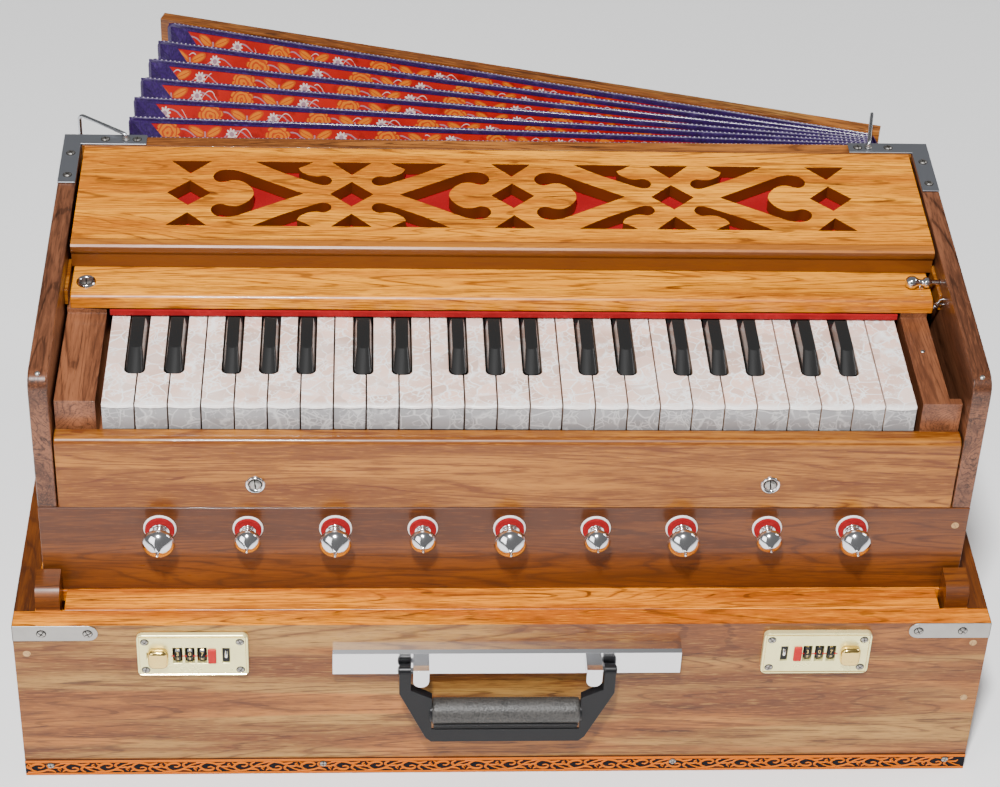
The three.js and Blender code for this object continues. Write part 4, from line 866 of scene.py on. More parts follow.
class Screws:
    """Domed screw heads with one slot or a cross, each on a near-black countersink that is painted shadow in the
    slots and round the head.
    """

    def __init__(self):
        self.heads, self.seats = Shape(), Shape()

    def add(self, centre, normal, radius=None, turn=0.4, slots=2):
        radius = radius or bpy.context.scene.harmonium_sizes.screw_radius
        normal, centre = Vector(normal).normalized(), Vector(centre)
        # A near-black disc a little wider than the head, showing through the slots: painted shadow
        seat = [(radius * 1.2, -0.2 * MM), (radius * 1.2, 0.05 * MM), (radius * 0.6, radius * 0.1)]
        self.seats.turned(seat, centre, normal, 20)
        side = Matrix.Rotation(turn, 3, normal) @ normal.orthogonal().normalized()
        up = normal.cross(side)
        gap = radius * 0.14
        share = math.pi / slots
        margin = math.asin(gap / radius)
        for part in range(2 * slots):
            middle = share * (part + 0.5)
            tip = gap / math.sin(share / 2)
            angles = [middle - share / 2 + margin + (share - 2 * margin) * k / 4 for k in range(5)]
            flat = [Vector((math.cos(middle), math.sin(middle))) * tip]
            flat += [Vector((math.cos(a), math.sin(a))) * radius * 0.98 for a in angles]
            rings = []
            for lift, shrink in ((0.02, 1.0), (0.22, 1.0), (0.40, 0.72)):
                corners = [flat[0]] + [p * shrink for p in flat[1:]]
                lifted = centre + normal * radius * lift
                rings.append([lifted + side * p.x + up * p.y for p in corners])
            self.heads.skin(rings)

    def pieces(self, name, body):
        self.heads.piece(name, body, "nickel", "steel", 30)
        self.seats.piece(f"{name}_seats", body, "dark recess", "steel", 30)


def baked(made):
    """The mesh of an object with its modifiers or its text worked out."""
    graph = bpy.context.evaluated_depsgraph_get()
    return bpy.data.meshes.new_from_object(made.evaluated_get(graph))


def settle(mesh, smooth):
    """Turns every face outwards and shades the gentle edges smooth."""
    work = bmesh.new()
    work.from_mesh(mesh)
    bmesh.ops.recalc_face_normals(work, faces=work.faces)
    for face in work.faces:
        face.smooth = True
    work.to_mesh(mesh)
    work.free()
    mesh.set_sharp_from_angle(angle=math.radians(smooth))


def ease(made, width, steps=2):
    bevel = made.modifiers.new("eased edges", "BEVEL")
    bevel.width = width
    bevel.segments = steps
    bevel.limit_method = "ANGLE"
    bevel.angle_limit = math.radians(32)
    weigh = made.modifiers.new("flat faces", "WEIGHTED_NORMAL")
    weigh.weight = 100
    weigh.keep_sharp = True


def dress(made, finish, body=None):
    made.data.materials.clear()
    made.data.materials.append(material(finish))
    if body:
        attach(made, body)
    return made


def outlined(node):
    """A frame node's mesh with whole flat faces."""
    work = bmesh.new()
    work.from_mesh(frame["nodes"][node].data)
    bmesh.ops.remove_doubles(work, verts=work.verts, dist=0.002 * MM)
    flat = math.radians(0.6)
    bmesh.ops.dissolve_limit(work, angle_limit=flat, verts=work.verts, edges=work.edges)
    return work


def eased(node, name, finish, width=None, steps=2, reshape=None):
    """A copy of a frame node with its edges eased, which stands for the node."""
    work = outlined(node)
    if reshape:
        reshape(work)
    work.verts.index_update()
    copy = Shape()
    copy.points = [vertex.co.copy() for vertex in work.verts]
    copy.faces = [[vertex.index for vertex in face.verts] for face in work.faces]
    work.free()
    width = width or bpy.context.scene.harmonium_sizes.eased_edge
    made = copy.piece(name, BODY_OF[node], finish, SLOT_OF[node], 32, width, steps)
    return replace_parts(made, node)


def dress_node(node, finish):
    mesh = frame["nodes"][node].data
    mesh.materials.clear()
    mesh.materials.append(material(finish))


def smooth_profile(points, steps=4):
    """Rounds a turned profile with a curve through its points."""
    rounded = []
    for i in range(len(points) - 1):
        a, b = points[max(i - 1, 0)], points[i]
        c, d = points[i + 1], points[min(i + 2, len(points) - 1)]
        for k in range(steps):
            t = k / steps
            rounded.append(tuple(
                0.5 * (2 * b[n] + (c[n] - a[n]) * t + (2 * a[n] - 5 * b[n] + 4 * c[n] - d[n]) * t * t
                       + (3 * b[n] - a[n] - 3 * c[n] + d[n]) * t ** 3)
                for n in range(2)
            ))
    return rounded + [points[-1]]


def arc(centre, radius, start, end, steps=8):
    return [
        (centre[0] + radius * math.cos(start + (end - start) * i / steps),
         centre[1] + radius * math.sin(start + (end - start) * i / steps))
        for i in range(steps + 1)
    ]


# Operators, one for each group of pieces


class HARMONIUM_OT_stage(bpy.types.Operator):
    """Floor, lights and the camera at the photograph's viewing angle"""

    bl_idname = "harmonium.stage"
    bl_label = "Floor, lights and camera"

    ambient = 0.18

    # Camera fitted to points of the photograph, 1000 x 787 pixels; place in mm, angles in degrees
    image_width = 1000
    focal_pixels = 2595.0
    principal = (561.1, 326.4)
    middle_of_picture = (500, 393.5)
    stand = (-103.3, -1503.6, 1374.8)
    pitch, yaw, roll = 36.4, 5.5, 3.6

    def execute(self, context):
        self.floor()
        self.world(context)
        self.lights()
        self.camera(context)
        return {"FINISHED"}

    def floor(self):
        reach = 9.0
        mesh = bpy.data.meshes.new("floor")
        corners = [(-reach, -reach), (reach, -reach), (reach, reach), (-reach, reach)]
        mesh.from_pydata([(x, y, -0.3 * MM) for x, y in corners], [], [(0, 1, 2, 3)])
        floor = bpy.data.objects.new("floor", mesh)
        bpy.context.scene.collection.objects.link(floor)
        finish = Finish("pale floor")
        cloud = finish.noise(finish.place(), 3, 2.0)
        shade = finish.mix(cloud * 0.2, (0.93, 0.93, 0.93, 1), (0.90, 0.90, 0.90, 1))
        mesh.materials.append(finish.surface(shade, cloud * 0.1 + 0.8))

    def world(self, context):
        world = bpy.data.worlds.new("studio")
        world.use_nodes = True
        inputs = world.node_tree.nodes["Background"].inputs
        inputs["Color"].default_value = (1, 1, 1, 1)
        inputs["Strength"].default_value = self.ambient
        context.scene.world = world

    def lights(self):
        for name, place, target, size, power in (
            ("key_light", (-0.30, -1.7, 2.7), (0, -0.05, 0.2), (0.24, 0.24), 180),
            ("fill_light", (-2.0, -1.9, 1.5), (0, 0, 0.15), (1.6, 1.6), 32),
            ("side_light", (2.4, 0.3, 1.7), (0, 0.1, 0.2), (1.0, 1.0), 24),
        ):
            data = bpy.data.lights.new(name, "AREA")
            data.shape = "RECTANGLE"
            data.size, data.size_y = size
            data.energy = power
            lamp = bpy.data.objects.new(name, data)
            lamp.location = place
            aim = Vector(target) - Vector(place)
            lamp.rotation_euler = aim.to_track_quat("-Z", "Y").to_euler()
            bpy.context.scene.collection.objects.link(lamp)

    def camera(self, context):
        pitch, yaw, roll = (math.radians(angle) for angle in (self.pitch, self.yaw, self.roll))
        level = math.cos(pitch)
        ahead = Vector((math.sin(yaw) * level, math.cos(yaw) * level, -math.sin(pitch)))
        right = Vector((math.cos(yaw), -math.sin(yaw), 0))
        up = right.cross(ahead)
        leaning_right = right * math.cos(roll) + up * math.sin(roll)
        leaning_up = up * math.cos(roll) - right * math.sin(roll)
        data = bpy.data.cameras.new("camera")
        data.sensor_width = 36
        data.lens = data.sensor_width * self.focal_pixels / self.image_width
        data.shift_x = (self.middle_of_picture[0] - self.principal[0]) / self.image_width
        data.shift_y = (self.principal[1] - self.middle_of_picture[1]) / self.image_width
        data.clip_end = 30
        camera = bpy.data.objects.new("camera", data)
        turned = Matrix((leaning_right, leaning_up, -ahead)).transposed().to_4x4()
        camera.matrix_world = Matrix.Translation(Vector(self.stand) * MM) @ turned
        bpy.context.scene.collection.objects.link(camera)
        context.scene.camera = camera


class HARMONIUM_OT_case(bpy.types.Operator):
    """Case walls, deck, corner straps and wooden plugs"""

    bl_idname = "harmonium.case"
    bl_label = "Case"

    # Middles of the wooden plugs in mm, and their turned form
    plug_places = ((-330.4, -188, 118), (328.6, -188, 125), (329.6, -188, 71.5), (311.5, -151, 202))
    plug = ((2.7 * MM, -1 * MM), (2.7 * MM, 0.12 * MM), (1.5 * MM, 0.22 * MM))

    def execute(self, context):
        sizes = context.scene.harmonium_sizes
        eased("case_walls", "case_boards", "case teak", 1.1 * MM, 3)
        eased("deck", "deck_board", "deck teak")
        dress_node("case_bottom", "plain wood")
        dress_node("reservoir_board", "plain wood")
        self.straps(sizes)
        plugs = Shape()
        for place in self.plug_places:
            plugs.turned(self.plug, Vector(place) * MM, (0, -1, 0), 20)
        plugs.piece("wooden_plugs", "instrument", "plug wood", "teak")
        return {"FINISHED"}

    def straps(self, sizes):
        thick, proud, sunk = 0.8 * MM, 0.15 * MM, 0.6 * MM
        low, high = RIM - sizes.strap_height, RIM
        half = sizes.strap_height / 2
        height = low + half
        front = CASE_FRONT - thick
        end = arc((0, height), half, -math.pi / 2, math.pi / 2)
        for name, side in SIDES:
            corner = side * CASE_HIGH.x
            edge = corner + side * proud
            shape, screws = Shape(), Screws()
            inner = corner - side * (sizes.strap_length - half)
            outline = [(edge, high), (edge, low)] + [(inner - side * u, z) for u, z in end]
            shape.prism(outline, thick, (1, 0, 0), (0, 0, 1), (0, CASE_FRONT, 0))
            back = CASE_FRONT + sizes.strap_length - half
            outline = [(front, high), (front, low)] + [(back + u, z) for u, z in end]
            start = edge - thick if side > 0 else edge
            shape.prism(outline, thick, (0, 1, 0), (0, 0, 1), (start, 0, 0))
            shape.piece(f"corner_strap_{name}", "instrument", "nickel", "steel", bevel=0.25 * MM)
            for reach in (0.34, 0.88):
                along = sizes.strap_length * reach
                screws.add((corner - side * along, front, height), (0, -1, 0), turn=reach * 5)
                beside = (corner - side * sunk, CASE_FRONT + along, height)
                screws.add(beside, (side, 0, 0), turn=reach * 3)
            screws.pieces(f"strap_screws_{name}", "instrument")


class HARMONIUM_OT_border(bpy.types.Operator):
    """Carved scroll border along the plinth strip"""

    bl_idname = "harmonium.border"
    bl_label = "Plinth border"

    # Half a repeat as curved leaves: points in shares of (half repeat, height of the field),
    # and the half width at the widest place in shares of the height
    leaves = (
        (((-0.10, 0.06), (0.16, 0.05), (0.40, 0.16), (0.58, 0.40), (0.78, 0.74), (1.02, 0.94)), 0.085),
        (((0.20, 0.08), (0.06, 0.28), (0.02, 0.56), (0.14, 0.82), (0.32, 0.86), (0.42, 0.68),
          (0.34, 0.50), (0.24, 0.54)), 0.10),
        (((0.04, 0.40), (-0.10, 0.50), (-0.16, 0.70), (-0.10, 0.84)), 0.085),
        (((0.12, 0.70), (0.00, 0.82), (-0.04, 0.94)), 0.06),
        (((0.60, 0.42), (0.52, 0.62), (0.54, 0.82), (0.64, 0.95)), 0.095),
        (((0.44, 0.24), (0.62, 0.22), (0.76, 0.08)), 0.085),
        (((0.66, 0.48), (0.84, 0.50), (0.92, 0.32)), 0.075),
    )

    screw_places, screw_height = (-321, -128, 124, 324), 10.2 * MM

    def execute(self, context):
        sizes = context.scene.harmonium_sizes
        dress_node("plinth_rail", "border black")
        face = PLINTH_LOW.y
        height = PLINTH_HIGH.z
        band = 2.3 * MM
        fillets = Shape()
        inside, outside, slant = face + 0.2 * MM, face - 0.4 * MM, 0.3 * MM
        for low, high in ((0.3 * MM, band), (height - band - 0.3 * MM, height - 0.2 * MM)):
            outline = [(inside, low), (outside, low + slant), (outside, high - slant), (inside, high)]
            fillets.prism(outline, 2 * PLINTH_HIGH.x, (0, 1, 0), (0, 0, 1), (PLINTH_LOW.x, 0, 0))
        fillets.piece("border_fillets", "instrument", "border orange", "teak", bevel=0.15 * MM)
        scroll = Shape()
        margin, closest = 3 * MM, 1.5 * MM
        length_x = PLINTH_HIGH.x - PLINTH_LOW.x
        repeats = 2 * round(length_x / sizes.scroll_pitch / 2)
        pitch = (length_x - 2 * margin) / repeats
        field = height - 2 * band - 0.2 * MM
        for repeat in range(repeats):
            start = PLINTH_LOW.x + margin + repeat * pitch
            for points, width in self.leaves:
                placed = []
                for a, b in points:
                    up = 1 - b if repeat % 2 else b
                    x = max(start + a * pitch, PLINTH_LOW.x + closest)
                    placed.append((min(x, PLINTH_HIGH.x - closest), band + 0.2 * MM + up * field))
                self.ribbon(scroll, smooth_profile(placed, 4), 1.15 * width * field, face)
        scroll.piece("border_scroll", "instrument", "border orange", "teak", smooth=20)
        screws = Screws()
        for x in self.screw_places:
            screws.add((x * MM, face - 0.5 * MM, self.screw_height), (0, -1, 0), 2.4 * MM, turn=x)
        screws.pieces("border_screws", "instrument")
        return {"FINISHED"}

    def ribbon(self, shape, points, width, face):
        rings = []
        last = len(points) - 1
        for i, (x, z) in enumerate(points):
            ahead = Vector(points[min(i + 1, last)]) - Vector(points[max(i - 1, 0)])
            across = Vector((-ahead.y, ahead.x)).normalized()
            half = width * (0.2 + 0.8 * math.sin(math.pi * min(1, i / last * 0.8 + 0.18)))
            rings.append([
                (x + across.x * half, face + 0.1 * MM, z + across.y * half),
                (x, face - 0.75 * MM, z),
                (x - across.x * half, face + 0.1 * MM, z - across.y * half),
            ])
        shape.skin(rings)


class HARMONIUM_OT_handle(bpy.types.Operator):
    """Carrying handle, its grip and its chrome rail"""

    bl_idname = "harmonium.handle"
    bl_label = "Carrying handle"

    def execute(self, context):
        eased("handle_rail", "chrome_rail", "chrome", 0.5 * MM)
        eased("handle", "moulded_handle", "black plastic", 1.5 * MM, 3)
        low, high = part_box("handle_grip")
        centre = (low + high) / 2
        radius = (high.z - low.z) / 2 - 1.1 * MM
        half = (high.x - low.x) / 2
        ribs = 46
        smooth_end = 3 * MM
        profile = [(radius * 0.5, -half)]
        profile += [(radius * (0.8 + 0.16 * math.sin(a)), -half + radius * 0.16 * (1 - math.cos(a)))
                    for a in (0, math.pi / 4, math.pi / 2)]
        for i in range(ribs * 2 + 1):
            along = -half + smooth_end + 2 * (half - smooth_end) * i / (ribs * 2)
            profile.append((radius * (0.985 if i % 2 else 0.955), along))
        profile += [(r, -a) for r, a in reversed(profile[:4])]
        grip = Shape().turned(profile, centre, (1, 0, 0), 36)
        roll = grip.piece("grip_roll", "carrying_handle", "grip vinyl", "grip_rubber", 60)
        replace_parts(roll, "handle_grip")
        self.tray(centre, radius, half)
        pivot = Vector(JOINTS["handle_hinge"]["pos_m"])
        rivets = Shape()
        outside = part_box("handle")[1].x
        head = [(3.2 * MM, -0.2 * MM), (3.2 * MM, 0.3 * MM), (2.4 * MM, 0.9 * MM), (0, 1.2 * MM)]
        collar = [(7.4 * MM, -1.4 * MM), (7.4 * MM, 0.1 * MM), (6.4 * MM, 1.2 * MM), (3 * MM, 1.6 * MM)]
        for _, side in SIDES:
            rivets.turned(head, (side * outside, pivot.y, pivot.z), (side, 0, 0), 20)
            waist = low.x if side < 0 else high.x
            rivets.turned(collar, (waist, centre.y, centre.z), (-side, 0, 0), 24)
        rivets.piece("handle_fittings", "carrying_handle", "black plastic", "black_plastic")
        return {"FINISHED"}

    def tray(self, centre, radius, half):
        """Moulded shell that holds the grip from below."""
        inner, outer = radius + 0.15 * MM, radius + 1.1 * MM
        bend = [math.radians(a) for a in range(-172, -27, 12)]
        section = [(-outer * math.cos(a), outer * math.sin(a)) for a in bend]
        section += [(-inner * math.cos(a), inner * math.sin(a)) for a in reversed(bend)]
        span = half - 1.2 * MM
        shell = Shape().prism(section, 2 * span, (0, 1, 0), (0, 0, 1), (-span, centre.y, centre.z))
        shell.piece("grip_tray", "carrying_handle", "black plastic", "black_plastic", 30, 0.3 * MM)
        heights = [vertex.co.z for vertex in frame["nodes"]["handle"].data.vertices]
        bar = max(height for height in heights if height < centre.z - radius)
        saddle = Shape().block(
            (-span, centre.y - 4 * MM, bar - 0.3 * MM), (span, centre.y + 4 * MM, centre.z - inner)
        )
        saddle.piece("grip_saddle", "carrying_handle", "black plastic", "black_plastic", 30, 0.3 * MM)


class HARMONIUM_OT_locks(bpy.types.Operator):
    """Combination locks with slides, number wheels and catches"""

    bl_idname = "harmonium.locks"
    bl_label = "Combination locks"

    digits, digit_size = 10, 3.9 * MM
    beading_inset, screw_inset = 1.6 * MM, (5.5 * MM, 6 * MM)

    # Middles of the red dashes beside the wheels, in shares of the wheels' width
    dashes = (0.0, 0.345, 0.655, 1.0)

    # Middle of the catch from the plate's inner end, and its bow in mm: depth behind the plate's
    # face and height over its middle
    window = 15.2 * MM
    bow = ((1.6, 3.0), (0.2, 1.6), (0.2, -0.8), (1.6, -2.2))

    def execute(self, context):
        for name, side in SIDES:
            eased(f"lock_plate_{name}", f"lock_face_{name}", "plate gold", 0.7 * MM)
            self.button(name)
            dress_node(f"lock_dials_{name}", "black plastic")
            self.fittings(name, side)
            self.numbers(name)
        return {"FINISHED"}

    def button(self, name):
        """Domed thumb button with a finger hollow, on its stem."""
        node = f"lock_slide_{name}"
        low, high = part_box(node)
        centre = (low + high) / 2
        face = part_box(f"lock_plate_{name}")[0].y
        wide, tall = (high.x - low.x) / 2, (high.z - low.z) / 2
        stem = 3 * MM / wide
        profile = [(stem, high.y), (stem, face - 0.15 * MM), (0.94, face - 0.15 * MM), (1.0, face - 0.6 * MM),
                   (1.0, low.y + 3.2 * MM), (0.96, low.y + 1.8 * MM), (0.86, low.y + 0.7 * MM),
                   (0.70, low.y + 0.1 * MM), (0.56, low.y + 0.05 * MM), (0.40, low.y + 0.7 * MM),
                   (0.20, low.y + 1.1 * MM)]
        angles = [2 * math.pi * k / 32 for k in range(32)]
        rings = []
        for share, y in profile:
            ring = []
            for a in angles:
                c, s = math.cos(a), math.sin(a)
                x = centre.x + share * wide * math.copysign(abs(c) ** 0.5, c)
                ring.append((x, y, centre.z + share * tall * math.copysign(abs(s) ** 0.5, s)))
            rings.append(ring)
        shape = Shape().skin(rings)
        made = shape.piece(f"slide_button_{name}", node, "bright gold", SLOT_OF[node], 50)
        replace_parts(made, node)

    def fittings(self, name, side):
        low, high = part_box(f"lock_plate_{name}")
        dials_low, dials_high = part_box(f"lock_dials_{name}")
        height = (low.z + high.z) / 2
        face = low.y
        inset = self.beading_inset
        left, right = low.x + inset, high.x - inset
        bottom, top = low.z + inset, high.z - inset
        outline = [(left, bottom), (right, bottom), (right, top), (left, top)]
        beading = Shape().tube([(x, face, z) for x, z in outline], 0.45 * MM, 6, closed=True)
        beading.piece(f"lock_beading_{name}", "instrument", "bright gold", "brass")
        screws = Screws()
        across, up = self.screw_inset
        for x in (low.x + across, high.x - across):
            for z in (low.z + up, high.z - up):
                screws.add((x, face, z), (0, -1, 0), 2.5 * MM, turn=x * 90 + z * 40)
        screws.pieces(f"lock_screws_{name}", "instrument")
        near = dials_high.x if side < 0 else dials_low.x
        x0, x1 = sorted((near - side * 1.0 * MM, near - side * 6.8 * MM))
        half = 6.4 * MM
        tab = Shape().block((x0, face - 1.6 * MM, height - half), (x1, face + 0.5 * MM, height + half))
        tab.piece(f"lock_tab_{name}", "instrument", "red plastic", "black_plastic", bevel=0.9 * MM, steps=3)
        line = Shape()
        reach, half = 1.8 * MM, 0.5 * MM
        for share in self.dashes:
            x = dials_low.x + (dials_high.x - dials_low.x) * share
            low_corner = (x - reach, face - 0.15 * MM, height - half)
            line.block(low_corner, (x + reach, face + 0.3 * MM, height + half))
        line.piece(f"lock_line_{name}", "instrument", "red plastic", "black_plastic", bevel=0.1 * MM)
        inner = high.x if side < 0 else low.x
        x = inner + side * self.window
        reach, half = 2.3 * MM, 6.6 * MM
        well = Shape().block(
            (x - reach, face + 1.2 * MM, height - half), (x + reach, face + 2.2 * MM, height + half)
        )
        well.piece(f"lock_well_{name}", "instrument", "black plastic", "black_plastic", bevel=0.2 * MM)
        path = [(x, face + depth * MM, height + rise * MM) for depth, rise in self.bow]
        catch = Shape().tube(path, 1.15 * MM, 10)
        catch.piece(f"lock_catch_{name}", "instrument", "chrome", "chrome")

    def numbers(self, name):
        """Plain digits round each wheel."""
        low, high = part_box(f"lock_dials_{name}")
        centre = Vector(JOINTS[f"lock_dials_{name}_turn"]["pos_m"])
        radius = (high.y - low.y) / 2
        shape = Shape()
        wheel_pitch = (high.x - low.x - 5.8 * MM) / 2
        flat = radius * math.cos(math.pi / self.digits) + 0.01 * MM
        for wheel in (-1, 0, 1):
            middle = centre + Vector((wheel * wheel_pitch, 0, 0))
            for digit in range(self.digits):
                text = bpy.data.curves.new("digit", "FONT")
                text.body = str(digit)
                text.size = self.digit_size
                text.extrude = 0.05 * MM
                text.align_x, text.align_y = "CENTER", "CENTER"
                holder = bpy.data.objects.new("digit", text)
                bpy.context.scene.collection.objects.link(holder)
                bpy.context.view_layer.update()
                mesh = baked(holder)
                angle = 2 * math.pi * (digit + wheel * 3 + 0.5) / self.digits
                outward = Vector((0, -math.cos(angle), math.sin(angle)))
                up = Vector((0, math.sin(angle), math.cos(angle)))
                turned = Matrix((Vector((1, 0, 0)), up, outward)).transposed()
                start = len(shape.points)
                for vertex in mesh.vertices:
                    shape.points.append(middle + turned @ vertex.co + outward * flat)
                shape.faces.extend([start + v for v in face.vertices] for face in mesh.polygons)
                bpy.data.objects.remove(holder)
                bpy.data.curves.remove(text)
                bpy.data.meshes.remove(mesh)
        shape.piece(f"wheel_numbers_{name}", f"lock_dials_{name}", "bright gold", "black_plastic")


class HARMONIUM_OT_upper_case(bpy.types.Operator):
    """Wind chest, stop board, cheeks and key slip with their small fittings"""

    bl_idname = "harmonium.upper_case"
    bl_label = "Upper case"

    # Middles of the cups on the key slip and of the one on the key strip
    slip_cups, slip_cup_height = (-173.4 * MM, 177.6 * MM), 239 * MM
    strip_cup = (-293 * MM, -23 * MM)

    # Small cleats inside the cheeks, and the nail in the right key block
    cleat_front, cleat_back, cleat_width = -37 * MM, 0.2 * MM, 2.4 * MM
    cleat_below, cleat_above = 9 * MM, 3.4 * MM
    block_nail = (288 * MM, -78 * MM, 299 * MM)

    # Turned forms: cup in mm and head of a nail, each as radius and height
    cup = ((4.2, -0.3), (4.4, 0.3), (5.4, 1.5), (6.2, 1.7), (6.9, 1.0), (7.1, -0.2))
    nail = ((1.7 * MM, -0.3 * MM), (1.7 * MM, 0.2 * MM), (1.2 * MM, 0.7 * MM), (0.3 * MM, 0.9 * MM))

    def execute(self, context):
        eased("wind_chest", "chest_boards", "chest teak")
        eased("stop_board", "front_board", "board teak")
        for name, _ in SIDES:
            eased(f"cheek_{name}", f"cheek_board_{name}", "cheek teak", 1.3 * MM, 3)
        eased("key_slip", "slip_board", "slip teak")
        self.cups()
        self.nails()
        return {"FINISHED"}

    def cups(self):
        cups, screws = Shape(), Screws()
        places = [((x, SLIP_FRONT, self.slip_cup_height), (0, -1, 0)) for x in self.slip_cups]
        places.append(((*self.strip_cup, STRIP_HIGH.z), (0, 0, 1)))
        profile = [(r * MM, a * MM) for r, a in self.cup]
        for centre, normal in places:
            cups.turned(profile, centre, normal, 28, closed=True)
            seat = Vector(centre) + Vector(normal) * 0.3 * MM
            screws.add(seat, normal, 4.1 * MM, turn=0.9, slots=1)
        cups.piece("screw_cups", "instrument", "chrome", "chrome", 50)
        screws.pieces("cup_screws", "instrument")

    def nails(self):
        nails, cleats = Shape(), Shape()
        for name, side in SIDES:
            middle = side * (CHEEK_LOW.x + CHEEK_HIGH.x) / 2
            start = Vector((middle, UNIT_FRONT - 8 * MM, CHEEK_HIGH.z + 2 * MM))
            wood_surface = BVHTree.FromBMesh(outlined(f"cheek_{name}"))
            place, normal, _, _ = wood_surface.ray_cast(start, Vector((0, 1, -1)).normalized())
            if place is None:
                raise RuntimeError("The ray for a nail misses its cheek")
            nails.turned(self.nail, place, normal, 16)
            inner = side * CHEEK_LOW.x
            x0, x1 = sorted((inner, inner - side * self.cleat_width))
            low = (x0, self.cleat_front, STRIP_HIGH.z - self.cleat_below)
            cleats.block(low, (x1, self.cleat_back, STRIP_HIGH.z + self.cleat_above))
        nails.turned(self.nail, self.block_nail, (0, 0, 1), 16)
        nails.piece("bright_nails", "instrument", "nickel", "steel")
        cleats.piece("lid_cleats", "instrument", "slip teak", "golden_teak", bevel=0.4 * MM)


class HARMONIUM_OT_stops(bpy.types.Operator):
    """Turned stop knobs with their rings and felt washers"""

    bl_idname = "harmonium.stops"
    bl_label = "Stops"

    # Rod of a knob and where the knob begins, from the board
    rod, start = 3.0 * MM, 3.5 * MM

    # Turned knob: radius in shares of its head, distance from the board in shares of its reach
    profile = (
        (0.60, 0.13), (0.60, 0.17), (0.46, 0.19), (0.45, 0.23), (0.56, 0.26), (0.56, 0.29),
        (0.44, 0.32), (0.44, 0.36), (0.58, 0.41), (0.84, 0.46), (0.97, 0.495), (1.0, 0.52),
        (0.99, 0.56), (0.93, 0.62), (0.81, 0.68), (0.63, 0.74), (0.43, 0.79), (0.25, 0.83),
        (0.13, 0.865), (0.09, 0.90), (0.095, 0.94), (0.08, 0.98), (0.02, 1.0),
    )

    def execute(self, context):
        sizes = context.scene.harmonium_sizes
        rings, felts = Shape(), Shape()
        for number in range(1, 10):
            node = f"stop_{number}"
            low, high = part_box(node)
            centre = Vector(((low.x + high.x) / 2, UNIT_FRONT, (low.z + high.z) / 2))
            head = (high.x - low.x) / 2
            reach = UNIT_FRONT - low.y
            knob = [(r * head, a * reach) for r, a in self.profile]
            profile = [(self.rod, UNIT_FRONT - high.y), (self.rod, self.start), (knob[0][0], self.start)]
            made = Shape().turned(profile + smooth_profile(knob, 3), centre, (0, -1, 0), 40)
            piece = made.piece(f"stop_knob_{number}", node, "chrome", "chrome", 50)
            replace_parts(piece, node)
            outer = sizes.washer_radius * (1.0 if number % 2 else 0.93)
            self.ring(rings, centre, 3.6 * MM, outer, 1.2 * MM, 0.0)
            self.ring(felts, centre, 3.5 * MM, outer - 1.1 * MM, 2.2 * MM, 1.2 * MM)
        rings.piece("stop_rings", "instrument", "white plastic", "pearl", 45)
        felts.piece("stop_felts", "instrument", "red felt", "red_cloth", 45)
        return {"FINISHED"}

    def ring(self, shape, centre, inner, outer, thick, lift):
        edge = 0.25 * MM
        section = [(inner, lift), (inner, lift + thick), (outer - edge, lift + thick),
                   (outer, lift + thick - edge), (outer, lift)]
        angles = [2 * math.pi * i / 32 for i in range(32)]
        rings = [
            [centre + Vector((r * math.cos(t), -a, r * math.sin(t))) for t in angles] for r, a in section
        ]
        shape.skin(rings, closed=True)


class HARMONIUM_OT_keys(bpy.types.Operator):
    """Natural and sharp keys"""

    bl_idname = "harmonium.keys"
    bl_label = "Keys"

    notch_radius = 5.0 * MM

    def execute(self, context):
        for node, slot in SLOT_OF.items():
            if slot == "pearl":
                eased(node, f"{node}_sheeted", "celluloid", 0.55 * MM, reshape=self.round_notches)
            elif slot == "ebony":
                eased(node, f"{node}_capped", "ebony", 0.6 * MM, 3, reshape=self.shorten_caps)
        return {"FINISHED"}

    def round_notches(self, work):
        """Rounds the inner corners that a sharp stands in."""
        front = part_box("white_keys_low")[0].y
        corners = [
            edge for edge in work.edges
            if (edge.verts[0].co.xy - edge.verts[1].co.xy).length < 0.01 * MM
            and front + 20 * MM < edge.verts[0].co.y < front + 50 * MM
            and not edge.is_convex
        ]
        bmesh.ops.bevel(
            work, geom=corners, offset=self.notch_radius, segments=5, profile=0.5, affect="EDGES"
        )

    def shorten_caps(self, work):
        """Ends the caps short of the felt, where the brown levers show."""
        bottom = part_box("black_keys_low")[1].z - CAP_HEIGHT
        back = STRIP_LOW.y - CAP_END
        for vertex in work.verts:
            if vertex.co.z > bottom and abs(vertex.co.y - back) < 1 * MM:
                vertex.co.y -= CAP_SETBACK


